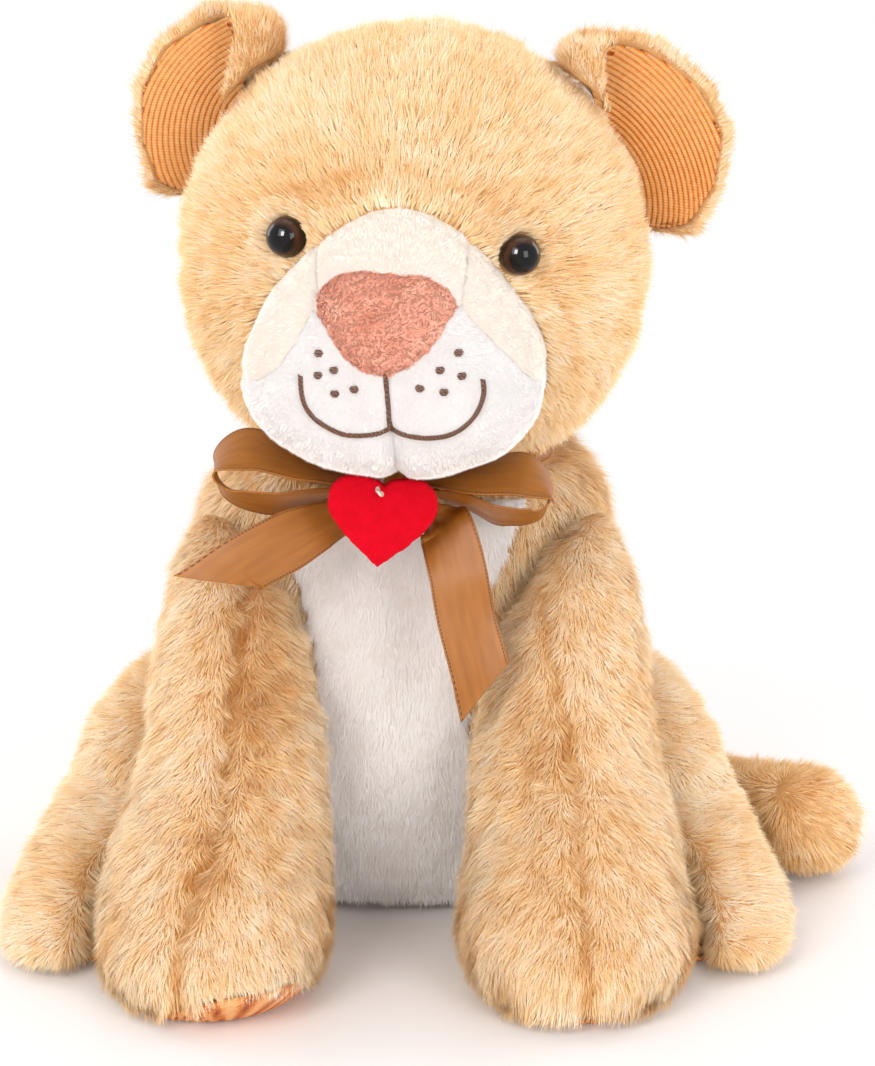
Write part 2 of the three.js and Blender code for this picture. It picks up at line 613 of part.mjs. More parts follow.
// An ear and its corduroy lining, cut where they meet the head. The ear thins towards its two ends.
const EAR_END_SHARE = 0.55;
function makeEar(side, word) {
  const half = EAR.thickness / 2;
  const front = half - EAR.recess;
  const lining = { from: front - EAR.lining, to: front, inset: EAR.rim, hem: EAR.hem };
  const back = lining.from - GAP;
  const room = { from: back, to: half + EAR.recess, inset: EAR.rim - GAP * 2, hem: EAR.hem + GAP * 2 };
  const { point, axis } = earHinge(side);
  const free = swept(headForm(GAP), axis, point, [EAR_FLEX, -EAR_FLEX]);
  const whole = solid(earForm(side, { from: -half, to: half, endShare: EAR_END_SHARE }));
  const shell = whole.subtract(solid(earForm(side, room)));
  piece(`ear_${word}`, surface(shell.subtract(free)), COLOURS.fur, head);
  piece(`ear_lining_${word}`, surface(solid(earForm(side, lining)).subtract(free)), COLOURS.cord, head);
}

// The head with its muzzle's stuffing, and room for the neck, the collar and the eyes.
function makeHead() {
  const core = solid(muzzleForm(-PANEL_CLOTH - GAP));
  const nape = new THREE.Vector3(0, NAPE.y, NAPE.z).applyMatrix4(toHead);
  const across = ACROSS.clone().transformDirection(toHead);
  let body = solid(headForm()).add(core);
  body = body.subtract(swept(torsoForm(GAP), across, nape, [-NAPE.lift], toHead));
  body = body.subtract(swept(collarRoom(), across, nape, [-NAPE.lift], toHead));
  for (const [side, word] of [[1, "left"], [-1, "right"]]) {
    const place = eyePlace(side);
    body = body.subtract(solid(eyeForm(GAP), place)).subtract(solid(washerForm(GAP), place));
    const [eye, washer] = [solid(eyeForm(), place), solid(washerForm(), place)];
    piece(`eye_${word}`, surface(eye), COLOURS.eye, head, { roughness: 0.08 });
    piece(`eye_washer_${word}`, surface(washer), COLOURS.washer, head, { roughness: 0.5 });
    makeEar(side, word);
  }
  piece("head", surface(body), COLOURS.fur, head);
}

// The muzzle's five panels and the nose pad on top of them.
function makeMuzzle() {
  const filled = solid(muzzleForm(-PANEL_CLOTH)).add(solid(headForm(GAP)));
  let cloth = solid(muzzleForm()).subtract(filled);
  for (const side of [1, -1]) cloth = cloth.subtract(solid(eyeForm(GAP), eyePlace(side)));
  for (const [name, [outline, colour]] of Object.entries(panelOutlines())) {
    const prism = frontPrism(drawnIn(outline, GAP / 2), -MUZZLE.reach - OVERRUN, -MUZZLE.root);
    piece(name, surface(cloth.intersect(prism)), colour, head);
  }
  piece("nose", surface(solid(noseForm()).subtract(solid(muzzleForm(GAP)))), COLOURS.nose, head);
}

// A strip of ribbon along a curve. Each place gives a point of its middle line and how it leans across.
const SLANT_STEPS = 3;
function ribbonForm(places, slant = 0) {
  const steps = RING_COUNTS.ribbon;
  const route = new THREE.CatmullRomCurve3(places.map(([x, y, z]) => new THREE.Vector3(x, y, z)));
  const lean = new THREE.CatmullRomCurve3(places.map((place) => new THREE.Vector3(...place[3])));
  const rings = [];
  for (let i = 0; i <= steps; i += 1) {
    const share = i / steps;
    const along = route.getTangent(share);
    const wide = lean.getPoint(share);
    wide.addScaledVector(along, -wide.dot(along)).normalize();
    const thick = along.clone().cross(wide).multiplyScalar(RIBBON.thickness / 2);
    const reach = lean.getPoint(share).length() * (RIBBON.width / 2);
    const shift = slant * Math.max(0, i - steps + SLANT_STEPS) / SLANT_STEPS;
    const centre = route.getPoint(share);
    const corner = (w, t) => {
      const across = centre.clone().addScaledVector(wide, w * reach);
      return across.addScaledVector(thick, t).addScaledVector(along, w * shift);
    };
    rings.push([corner(-1, -1), corner(1, -1), corner(1, 1), corner(-1, 1)]);
  }
  return skin(rings);
}

// The bow's routes, from the knot's sides. Each row gives shares of the bow's reach, of how far it stands
// forward and of its rise or drop, then the way across the ribbon, which is shorter where it is gathered.
const LOOP_LEFT_SHARES = [
  [0.19, 0.05, 0.16, [0, -0.4, -0.04]], [0.32, 0.4, 0.34, [0, -0.7, -0.16]],
  [0.52, 0.8, 0.45, [0, -0.9, -0.3]],
  [0.76, 1, 0.52, [0, -0.9, -0.4]], [0.9, 1, 0.24, [0, -0.98, -0.2]], [0.8, 1.05, -0.2, [0, -1, 0]],
  [0.62, 1, -0.22, [0, -0.95, 0.05]], [0.42, 0.6, -0.1, [0, -0.75, 0]], [0.19, 0.05, -0.14, [0, -0.4, 0]],
];
const LOOP_RIGHT_SHARES = [
  [0.19, 0.05, 0.18, [0, -0.4, -0.06]], [0.36, 0.4, 0.48, [0, -0.7, -0.25]],
  [0.6, 0.7, 0.75, [0, -0.9, -0.38]],
  [0.86, 0.9, 1, [0, -0.92, -0.4]], [1.03, 1, 0.75, [0, -0.98, -0.2]], [0.96, 1, 0.3, [0, -1, 0]],
  [0.72, 0.9, 0.04, [0, -1, 0.05]], [0.44, 0.5, -0.02, [0, -0.8, 0]], [0.19, 0.05, -0.14, [0, -0.4, 0]],
];
const TAIL_LEFT_SHARES = [
  [0.175, 0.05, -0.09, [0, -0.4, -0.05]], [0.24, 0.4, -0.16, [0.35, -0.3, 0.25]],
  [0.3, 0.9, -0.17, [0.75, -0.3, 0.3]], [0.37, 1.46, -0.36, [0.85, 0.1, 0.1]],
  [0.42, 1.68, -0.6, [0.85, 0.1, 0.1]], [0.5, 1.95, -0.86, [0.85, 0.1, 0.15]],
  [0.53, 2.02, -0.98, [0.85, 0.1, 0.15]],
];
const TAIL_RIGHT_SHARES = [
  [0.165, 0.02, -0.092, [0, -0.4, -0.1]], [0.25, 0.3, -0.15, [0.1, -0.2, 0.35]],
  [0.42, 0.7, -0.17, [0.35, 0, 0.6]], [0.66, 1.2, -0.24, [0.5, 0, 0.75]],
  [0.88, 1.5, -0.33, [0.5, 0, 0.75]], [1.02, 1.6, -0.41, [0.5, 0, 0.75]],
];

// The knot's middle: the knot lies against the front of the collar.
function knotMiddle() {
  const front = COLLAR.y - COLLAR.halfY - RIBBON.thickness / 2 - GAP;
  return new THREE.Vector3(0, front - KNOT.depth / 2, KNOT.z);
}

// A route of the bow in millimetres, to one side of the knot.
function bowRoute(rowShares, side, height) {
  const from = knotMiddle();
  return rowShares.map(([out, forward, up, [x, y, z]]) => [
    from.x + side * out * BOW.reach, from.y - forward * BOW.stand, from.z + up * height, [side * x, y, z],
  ]);
}

// The ribbon: a collar round the neck, a knot, two loops and two loose ends.
const KNOT_SHARES = [[0, 0, 0], [0.06, 0.72, 0.7], [0.28, 1, 1], [0.72, 1, 1], [0.94, 0.72, 0.7], [1, 0, 0]];
function makeBow() {
  const satin = { roughness: 0.35 };
  const from = knotMiddle();
  const base = from.z - KNOT.height / 2;
  const size = { rings: RING_COUNTS.knot, points: POINT_COUNTS.small, base, lean: 0 };
  const knot = stuffed({ ...KNOT, x: from.x, y: from.y }, KNOT_SHARES, size);
  piece("ribbon_knot", knot, COLOURS.ribbon, lion, satin);
  piece("ribbon_collar", collarForm(), COLOURS.ribbon, lion, satin);
  const strips = {
    ribbon_loop_left: ribbonForm(bowRoute(LOOP_LEFT_SHARES, 1, BOW.rise)),
    ribbon_loop_right: ribbonForm(bowRoute(LOOP_RIGHT_SHARES, -1, BOW.rise)),
    ribbon_tail_left: ribbonForm(bowRoute(TAIL_LEFT_SHARES, 1, BOW.drop), -RIBBON.width * BOW.slantLeft),
    ribbon_tail_right: ribbonForm(bowRoute(TAIL_RIGHT_SHARES, -1, BOW.drop), RIBBON.width * BOW.slantRight),
  };
  for (const [name, form] of Object.entries(strips)) piece(name, form, COLOURS.ribbon, lion, satin);
}

// One side of the felt heart's outline, from its point up to its notch, as curves in shares of its half
// width and half height. The other side is its mirror image.
const HEART_START_SHARES = [0, -1];
const HEART_SHARES = [
  [[0.35, -0.6], [1, -0.1], [1, 0.4]], [[1, 0.8], [0.75, 1], [0.5, 1]], [[0.25, 1], [0, 0.85], [0, 0.62]],
];
function heartShape() {
  const at = (side, [x, z]) => [(side * x * HEART.width) / 2, (z * HEART.height) / 2];
  const shape = new THREE.Shape();
  shape.moveTo(...at(1, HEART_START_SHARES));
  for (const curve of HEART_SHARES) shape.bezierCurveTo(...curve.flatMap((point) => at(-1, point)));
  const stops = [HEART_START_SHARES, ...HEART_SHARES.map((curve) => curve[2])];
  for (let i = HEART_SHARES.length - 1; i >= 0; i -= 1) {
    const [first, second] = HEART_SHARES[i];
    shape.bezierCurveTo(...[second, first, stops[i]].flatMap((point) => at(1, point)));
  }
  return shape;
}

// The string's loop: from the knot, through the heart's hole and back to the knot. The hole lies above the
// heart's middle by a share of its height, and the loop hangs part of the way across to it.
const HOLE_SHARE = 0.28;
const HANG_SHARE = 0.5;
function stringForm(grow = 0) {
  const from = knotMiddle();
  const face = from.y - KNOT.depth / 2 - GAP - STRING.diameter / 2;
  const hole = HEART.z + HEART.height * HOLE_SHARE;
  const front = HEART.y - HEART.thickness / 2 - STRING.diameter;
  const x = HEART.x * HANG_SHARE;
  const top = from.z + KNOT.height / 2 - STRING.diameter;
  const route = new THREE.CatmullRomCurve3([
    new THREE.Vector3(x - STRING.spread, face, top),
    new THREE.Vector3(x - STRING.spread, (face + HEART.y) / 2, top + STRING.diameter),
    new THREE.Vector3(HEART.x - STRING.spread / 2, front, hole + STRING.bend),
    new THREE.Vector3(HEART.x, front, hole),
    new THREE.Vector3(HEART.x, HEART.y + HEART.thickness / 2 + STRING.diameter, hole - STRING.diameter),
    new THREE.Vector3(x + STRING.spread, face, hole - STRING.diameter),
  ]);
  const section = new THREE.Shape();
  section.absarc(0, 0, STRING.diameter / 2 + grow, 0, 2 * Math.PI);
  const run = { steps: RING_COUNTS.string, curveSegments: 3, bevelEnabled: false, extrudePath: route };
  return new THREE.ExtrudeGeometry(section, run);
}

// The tag: a thick felt heart that hangs on its string below the knot.
function makeTag() {
  const run = { depth: HEART.thickness, bevelEnabled: false, curveSegments: 6 };
  const heart = new THREE.ExtrudeGeometry(heartShape(), run);
  heart.translate(0, 0, -HEART.thickness / 2);
  const turn = new THREE.Euler(Math.PI / 2, THREE.MathUtils.degToRad(HEART.roll), 0, "YXZ");
  const place = new THREE.Matrix4().makeRotationFromEuler(turn).setPosition(HEART.x, HEART.y, HEART.z);
  const felt = solid(heart, place).subtract(solid(stringForm(GAP)));
  piece("heart_tag", surface(felt), COLOURS.heart, lion);
  piece("tag_string", stringForm(), COLOURS.string, lion);
}

// The tail, cut where the torso and the hind leg press on it.
function makeTail() {
  const root = new THREE.Vector3(TAIL_ROOT.x, TAIL_ROOT.y, 0);
  const hip = new THREE.Vector3(0, HIP.y, HIP.z);
  const leg = swept(hindLegForm(1, GAP), ACROSS, hip, [HIP.lift]);
  const free = swept(torsoForm(GAP), UP, root, [TAIL_ROOT.swing]).add(leg);
  piece("tail", surface(solid(tailForm()).intersect(aboveFloor()).subtract(free)), COLOURS.fur, lion);
}

makeTorso();
makeLegs(1, "left");
makeLegs(-1, "right");
makeHead();
makeMuzzle();
makeBow();
makeTag();
makeTail();

export default lion;
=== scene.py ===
"""A stuffed lion that sits on a pale floor, drawn round its CAD frame.

The cloth skins are made from the frame's own solids, and the pile on them is real geometry that follows
the way each piece is combed. Lengths are in metres, and sizes named in millimetres are turned into metres
where they are used.
"""
import logging
import math
from dataclasses import dataclass, field
from enum import Enum
from typing import Callable

import bmesh
import bpy
import numpy as np
from bpy.types import Material, Mesh, Node, NodeSocket, NodeTree, Object
from mathutils import Matrix, Vector
from mathutils.bvhtree import BVHTree


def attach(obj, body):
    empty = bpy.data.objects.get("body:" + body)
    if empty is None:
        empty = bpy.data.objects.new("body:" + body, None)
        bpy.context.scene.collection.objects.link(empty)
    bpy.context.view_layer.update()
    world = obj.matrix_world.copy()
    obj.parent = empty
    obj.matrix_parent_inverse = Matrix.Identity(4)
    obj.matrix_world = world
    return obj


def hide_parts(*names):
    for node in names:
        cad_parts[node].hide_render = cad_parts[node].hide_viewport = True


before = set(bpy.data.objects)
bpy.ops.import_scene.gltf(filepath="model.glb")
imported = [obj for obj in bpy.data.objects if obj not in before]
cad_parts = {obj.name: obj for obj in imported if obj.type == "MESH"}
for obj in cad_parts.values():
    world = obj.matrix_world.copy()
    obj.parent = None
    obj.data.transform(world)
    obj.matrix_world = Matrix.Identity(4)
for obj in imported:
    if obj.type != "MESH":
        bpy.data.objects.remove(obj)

Array = np.ndarray
Field = Callable[[Array, Array], Array]
Line = list[tuple[float, float]]

LOG = logging.getLogger("lion")
MM = 0.001

# The strands' map has a column for each tone, and goes from root to tip.
PILE_MAP = "OFBake"
TONES = 64

# A piece of pile stays under this many triangles, because larger ones are thinned when they are exported.
MOST_TRIANGLES = 190000

# Metres: the ribbon, and how far skins and strands stay above the floor.
RIBBON_THICKNESS = 0.0005
SKIN_CLEARANCE = 0.0006
PILE_CLEARANCE = 0.0003

# Half the head's width, depth and height, in millimetres.
HEAD_HALF = (73.0, 62.0, 66.0)


class Side(Enum):
    """The lion's own sides. Its left is +X."""

    LEFT = 1
    RIGHT = -1

    @property
    def word(self) -> str:
        """The side's word in a node's name."""
        return self.name.lower()


class Comb(Enum):
    """The ways that pile is combed."""

    FACE = "away from the muzzle"
    DOWN = "down"
    PAW = "down and forward"
    HAUNCH = "down and back"
    TAIL = "towards the tip, and over the top"
    EAR = "outwards from the ear's seam"
    MUZZLE = "away from the nose"
    NOSE = "in curls"


# ------ the head's own frame

HEAD_PLACE = (Matrix.Translation((0.006, -0.005, 0.204)) @ Matrix.Rotation(math.radians(-4), 4, "Z")
              @ Matrix.Rotation(math.radians(3.7), 4, "Y"))


def placed(points: Array, matrix: Matrix, turn_only: bool = False) -> Array:
    """Points or directions moved by a matrix.

    Args:
        points: rows of three numbers.
        matrix: the 4x4 matrix.
        turn_only: leaves out the matrix's shift, for directions.

    Returns:
        The moved rows.
    """
    m = np.array(matrix)
    moved = points @ m[:3, :3].T
    return moved if turn_only else moved + m[:3, 3]


def on_head(points: Array) -> Array:
    """Points given in millimetres in the head's frame, in metres in the lion's frame."""
    return placed(np.asarray(points, float) * MM, HEAD_PLACE)


def from_head(points: Array, turn_only: bool = False) -> Array:
    """Points or directions of the lion's frame in the head's frame, in the same units."""
    return placed(points, HEAD_PLACE.inverted(), turn_only)


def unit(rows: Array) -> Array:
    """Rows scaled to length one."""
    return rows / np.maximum(np.linalg.norm(rows, axis=-1, keepdims=True), 1e-12)


def waves(points: Array, length: float, seed: int, count: int = 7) -> Array:
    """A smooth, repeatable unevenness from -1 to 1.

    Args:
        points: rows of three numbers, in metres.
        length: the length of its waves, in metres.
        seed: which unevenness.
        count: how many waves are added.

    Returns:
        One value for each row.
    """
    rng = np.random.default_rng(seed)
    way = unit(rng.normal(size=(count, 3))) * (2 * math.pi / length) * rng.uniform(0.7, 1.4, (count, 1))
    phase = rng.uniform(0, 2 * math.pi, count)
    return np.clip(np.sin(points @ way.T + phase).sum(axis=1) / math.sqrt(count * 2), -1, 1)


def line_distance(points: Array, line: Line) -> Array:
    """How far points of a plane lie from a line of straight runs.

    Args:
        points: rows of two numbers.
        line: the line's corners.

    Returns:
        One distance for each row.
    """
    best = np.full(len(points), 1e9)
    for a, b in zip(np.asarray(line[:-1], float), np.asarray(line[1:], float)):
        run = b - a
        share = np.clip(((points - a) @ run) / max(run @ run, 1e-12), 0, 1)
        best = np.minimum(best, np.linalg.norm(points - (a + share[:, None] * run), axis=1))
    return best


def smooth_rows(rows: list[list[float]], places: Array, closed_ends: bool = True) -> Array:
    """A table's values on a smooth curve through its rows, evenly spaced.

    Args:
        rows: the table.
        places: shares of the way through it, from 0 to 1.
        closed_ends: columns 1 and 2 turn level at the ends, where a form closes.

    Returns:
        One row of values for each place.
    """
    table = np.array([list(row) + [0.0] * (max(map(len, rows)) - len(row)) for row in rows])
    flip = np.ones(table.shape[1])
    if closed_ends:
        flip[1:3] = -1
    table = np.vstack([table[1] * flip, table, table[-2] * flip])
    last = len(rows) - 1
    index = np.minimum((places * last).astype(int), last - 1)
    s = (places * last - index)[:, None]
    before, start, end, after = (table[index + k] for k in range(4))
    rise, fall = (end - before) / 2, (after - start) / 2
    bent = (2 * start - 2 * end + rise + fall) * s + (-3 * start + 3 * end - 2 * rise - fall)
    return bent * s * s + rise * s + start


def route_points(corners: Array, shares: Array) -> Array:
    """Points of a smooth route that passes through every corner without overshooting.

    Args:
        corners: the corners, as rows.
        shares: places along it, each corner an equal share on.

    Returns:
        One point for each share.
    """
    c = np.vstack([2 * corners[0] - corners[1], corners, 2 * corners[-1] - corners[-2]])
    last = len(corners) - 1
    index = np.minimum((shares * last).astype(int), last - 1)
    w = (shares * last - index)[:, None]
    x0, x1, x2, x3 = (c[index + k] for k in range(4))
    gap = [np.maximum(((b - a) ** 2).sum(axis=1), 1e-12)[:, None] ** 0.25 for a, b in ((x0, x1), (x1, x2), (x2, x3))]
    t1 = ((x1 - x0) / gap[0] - (x2 - x0) / (gap[0] + gap[1]) + (x2 - x1) / gap[1]) * gap[1]
    t2 = ((x2 - x1) / gap[1] - (x3 - x1) / (gap[1] + gap[2]) + (x3 - x2) / gap[2]) * gap[1]
    return x1 + t1 * w + (-3 * x1 + 3 * x2 - 2 * t1 - t2) * w ** 2 + (2 * x1 - 2 * x2 + t1 + t2) * w ** 3


# ------ meshes

def new_object(name: str, mesh: Mesh) -> Object:
    """A mesh as an object in the scene, at the origin.

    Args:
        name: the piece's name.
        mesh: its mesh.

    Returns:
        The object.
    """
    made = bpy.data.objects.new(name, mesh)
    bpy.context.scene.collection.objects.link(made)
    return made


def select_only(obj: Object) -> None:
    """Leaves one object selected and active, for operators.

    Args:
        obj: the object.
    """
    bpy.ops.object.select_all(action="DESELECT")
    obj.select_set(True)
    bpy.context.view_layer.objects.active = obj


def move_points(obj: Object, points: Array) -> None:
    """Puts moved points back into a piece's mesh."""
    obj.data.vertices.foreach_set("co", points.astype(np.float32).ravel())
    obj.data.update()


def modified(obj: Object, kind: str, **settings: object) -> None:
    """Puts a modifier on the selected piece and applies it.

    Args:
        obj: the piece.
        kind: the modifier's type.
        **settings: its settings.
    """
    modifier = obj.modifiers.new("step", kind)
    for key, value in settings.items():
        setattr(modifier, key, value)
    bpy.ops.object.modifier_apply(modifier="step")


def edited(obj: Object, step: Callable[[], object]) -> None:
    """Takes a step in edit mode on all of a piece, and then turns its faces outwards.

    Args:
        obj: the piece.
        step: calls the step's operator.
    """
    select_only(obj)
    bpy.ops.object.mode_set(mode="EDIT")
    bpy.ops.mesh.select_all(action="SELECT")
    step()
    bpy.ops.mesh.select_all(action="SELECT")
    bpy.ops.mesh.normals_make_consistent(inside=False)
    bpy.ops.object.mode_set(mode="OBJECT")


def polygons(name: str, points: Array, faces: Array) -> Object:
    """A piece, shaded smooth, from points and faces that all have the same number of corners.

    Args:
        name: the piece's name.
        points: rows of three numbers.
        faces: rows of indices.

    Returns:
        The new object.
    """
    mesh = bpy.data.meshes.new(name)
    sides = faces.shape[1]
    mesh.vertices.add(len(points))
    mesh.vertices.foreach_set("co", np.asarray(points, np.float32).ravel())
    mesh.loops.add(faces.size)
    mesh.loops.foreach_set("vertex_index", np.asarray(faces, np.int32).ravel())
    mesh.polygons.add(len(faces))
    mesh.polygons.foreach_set("loop_start", np.arange(0, faces.size, sides, dtype=np.int32))
    mesh.polygons.foreach_set("use_smooth", np.full(len(faces), True))
    mesh.update(calc_edges=True)
    return new_object(name, mesh)


def grid_faces(rows: int, columns: int, round_across: bool = False) -> Array:
    """The four-sided faces of a grid of points.

    Args:
        rows: how many rows of points.
        columns: how many points in a row.
        round_across: joins each row's last point to its first.

    Returns:
        Rows of four indices.
    """
    across = columns if round_across else columns - 1
    i, j = np.meshgrid(np.arange(rows - 1), np.arange(across), indexing="ij")
    a, b = i * columns + j, i * columns + (j + 1) % columns
    return np.stack([a, b, b + columns, a + columns], axis=-1).reshape(-1, 4)


def ring_faces(rings: int, sides: int) -> Array:
    """The triangles of a form of rings, closed by the two end points that come after them.

    Args:
        rings: how many rings.
        sides: how many points a ring has.

    Returns:
        Rows of three indices.
    """
    quad = grid_faces(rings, sides, round_across=True)
    k, base, last = np.arange(sides), (rings - 1) * sides, rings * sides
    return np.concatenate([
        quad[:, [0, 1, 2]], quad[:, [0, 2, 3]], np.stack([np.full(sides, last), (k + 1) % sides, k], axis=-1),
        np.stack([np.full(sides, last + 1), base + k, base + (k + 1) % sides], axis=-1)])


def lengths_along(path: Array) -> Array:
    """How far each point of a path lies from its start."""
    return np.concatenate([[0.0], np.cumsum(np.linalg.norm(np.diff(path, axis=0), axis=1))])


def thin_sheet(name: str, middle: Array, thickness: float) -> Object:
    """A closed sheet of one thickness round a grid of points.

    Args:
        name: the piece's name.
        middle: the middle surface, rows by columns by three.
        thickness: in metres.

    Returns:
        The new object, with the map "cloth" that runs 0 to 1 across and along in metres.
    """
    rows, columns, _ = middle.shape
    along, across = np.gradient(middle, axis=0), np.gradient(middle, axis=1)
    out = unit(np.cross(across, along)) * (thickness / 2)
    points = np.concatenate([(middle + out).reshape(-1, 3), (middle - out).reshape(-1, 3)])
    top = grid_faces(rows, columns)
    count = rows * columns
    edge = np.concatenate([
        np.arange(columns), np.arange(1, rows) * columns + columns - 1,
        (rows - 1) * columns + np.arange(columns - 2, -1, -1), np.arange(rows - 2, 0, -1) * columns])
    nxt = np.roll(edge, -1)
    rim = np.stack([edge, edge + count, nxt + count, nxt], axis=-1)
    faces = np.concatenate([top, top[:, ::-1] + count, rim])
    made = polygons(name, points, faces)
    u = np.tile(np.linspace(0, 1, columns), rows)
    v = np.repeat(lengths_along(middle[:, columns // 2]), columns)
    cloth = made.data.uv_layers.new(name="cloth")
    value = np.stack([np.tile(u, 2), np.tile(v, 2)], axis=-1)[faces.ravel()]
    cloth.data.foreach_set("uv", value.astype(np.float32).ravel())
    return made


def tube(path: Array, radius: float, sides: int) -> tuple[Array, Array]:
    """A round closed tube along a path.

    Args:
        path: its middle line.
        radius: its radius.
        sides: how many sides.

    Returns:
        Points, and faces of three corners.
    """
    along = unit(np.gradient(path, axis=0))
    first = np.cross(along[0], [0.3, 0.5, 0.81])
    up = [first / np.linalg.norm(first)]
    for step in along[1:]:
        nxt = up[-1] - step * (up[-1] @ step)
        up.append(nxt / np.linalg.norm(nxt))
    up = np.array(up)
    side = np.cross(along, up)
    turn = np.arange(sides) * 2 * math.pi / sides
    ring = path[:, None] + radius * (up[:, None] * np.cos(turn)[:, None] + side[:, None] * np.sin(turn)[:, None])
    return np.concatenate([ring.reshape(-1, 3), path[:1], path[-1:]]), ring_faces(len(path), sides)


def joined(parts: list[tuple[Array, Array]]) -> tuple[Array, Array]:
    """Several meshes as one.

    Args:
        parts: the points and the faces of each.

    Returns:
        All points, and all faces.
    """
    shift, points, faces = 0, [], []
    for p, f in parts:
        points.append(p)
        faces.append(f + shift)
        shift += len(p)
    return np.concatenate(points), np.concatenate(faces)


@dataclass
class Surface:
    """A mesh's points, triangles and normals, for placing pile on it."""

    points: Array
    triangles: Array
    normals: Array

    @classmethod
    def of(cls, obj: Object) -> "Surface":
        """Reads an object's mesh.

        Args:
            obj: the piece.

        Returns:
            Its surface.
        """
        mesh = obj.data
        mesh.calc_loop_triangles()
        points = np.empty(len(mesh.vertices) * 3, np.float32)
        mesh.vertices.foreach_get("co", points)
        normals = np.empty(len(mesh.vertices) * 3, np.float32)
        mesh.vertex_normals.foreach_get("vector", normals)
        triangles = np.empty(len(mesh.loop_triangles) * 3, np.int32)
        mesh.loop_triangles.foreach_get("vertices", triangles)
        return cls(points.reshape(-1, 3).astype(float), triangles.reshape(-1, 3), normals.reshape(-1, 3).astype(float))

    def tree(self) -> BVHTree:
        """The surface ready for ray tests."""
        return BVHTree.FromPolygons(self.points.tolist(), self.triangles.tolist())


# ------ finishes

def linear(code: str) -> tuple[float, float, float, float]:
    """A colour written as #RRGGBB, as the shader's numbers."""
    parts = [int(code[i:i + 2], 16) / 255 for i in (1, 3, 5)]
    return tuple(c / 12.92 if c <= 0.04045 else ((c + 0.055) / 1.055) ** 2.4 for c in parts) + (1.0,)


class Board:
    """A material's nodes, placed and linked in a line or two each."""

    def __init__(self, name: str, tree: NodeTree | None = None) -> None:
        """Starts a material, or works on a group's tree.

        Args:
            name: the material's name.
            tree: a group's tree, where it isn't a material.
        """
        self.material = None
        if tree is None:
            self.material = bpy.data.materials.new(name)
            self.material.use_nodes = True
            tree = self.material.node_tree
            tree.nodes.clear()
        self.tree = tree

    def add(self, kind: str, inputs: dict | None = None, **settings: object) -> Node:
        """Adds a node.

        Args:
            kind: the node's type.
            inputs: values or sockets by input name or number.
            **settings: the node's own settings.

        Returns:
            The node.
        """
        node = self.tree.nodes.new(kind)
        for key, value in settings.items():
            setattr(node, key, value)
        for key, value in (inputs or {}).items():
            if isinstance(value, NodeSocket):
                self.tree.links.new(value, node.inputs[key])
            else:
                node.inputs[key].default_value = value
        return node

    def maths(self, operation: str, first: object, second: object = 0.0, third: object = 0.0) -> NodeSocket:
        """A Math node's output."""
        return self.add("ShaderNodeMath", {0: first, 1: second, 2: third}, operation=operation).outputs[0]

    def between(self, value: object, low: float, high: float, start: float, end: float) -> NodeSocket:
        """A value carried smoothly from one range to another."""
        return self.add("ShaderNodeMapRange", {"Value": value, "From Min": low, "From Max": high, "To Min": start,
                                               "To Max": end}, interpolation_type="SMOOTHSTEP").outputs["Result"]

    def mix(self, share: object, first: object, second: object) -> NodeSocket:
        """A mix of two colours."""
        return self.add("ShaderNodeMix", {0: share, 6: first, 7: second}, data_type="RGBA").outputs[2]

    def where(self) -> NodeSocket:
        """The piece's Object coordinates."""
        return self.add("ShaderNodeTexCoord").outputs["Object"]

    def noise(self, where: NodeSocket, scale: object, detail: float = 2.0) -> NodeSocket:
        """A noise texture's value."""
        return self.add("ShaderNodeTexNoise", {"Vector": where, "Scale": scale, "Detail": detail}).outputs["Fac"]

    def kept(self, name: str) -> NodeSocket:
        """A number that the mesh keeps at each point."""
        return self.add("ShaderNodeAttribute", attribute_name=name).outputs["Fac"]

    def chart(self, name: str) -> list[NodeSocket]:
        """The two coordinates of one of the mesh's maps."""
        return self.add("ShaderNodeSeparateXYZ", {0: self.add("ShaderNodeUVMap", uv_map=name).outputs[0]}).outputs[:2]

    def effect(self, tree: NodeTree, **values: float) -> NodeSocket:
        """The output of a shared effect, with this material's own values."""
        return self.add("ShaderNodeGroup", values, node_tree=tree).outputs[0]

    def bump(self, height: NodeSocket, strength: float, distance: float) -> NodeSocket:
        """The normals of a bumpy surface."""
        return self.add("ShaderNodeBump", {"Height": height, "Strength": strength, "Distance": distance}).outputs[0]

    def ramp(self, value: object, stops: list[tuple[float, str]]) -> NodeSocket:
        """A colour ramp.

        Args:
            value: the place on the ramp.
            stops: places and their colours.

        Returns:
            The colour.
        """
        node = self.add("ShaderNodeValToRGB", {"Fac": value})
        elements = node.color_ramp.elements
        while len(elements) < len(stops):
            elements.new(0.5)
        for element, (place, code) in zip(elements, stops):
            element.position = place
            element.color = linear(code)
        return node.outputs["Color"]

    def surface(self, colour: object, roughness: object, normal: NodeSocket | None = None,
                **constants: object) -> Material:
        """Ends the material in a Principled BSDF.

        Args:
            colour: the base colour.
            roughness: the roughness.
            normal: a normal socket.
            **constants: other inputs by name, with _ for a space.

        Returns:
            The material.
        """
        inputs = {"Base Color": colour, "Roughness": roughness}
        if normal is not None:
            inputs["Normal"] = normal
        inputs.update({key.replace("_", " "): value for key, value in constants.items()})
        shader = self.add("ShaderNodeBsdfPrincipled", inputs)
        self.add("ShaderNodeOutputMaterial", {"Surface": shader.outputs[0]})
        return self.material


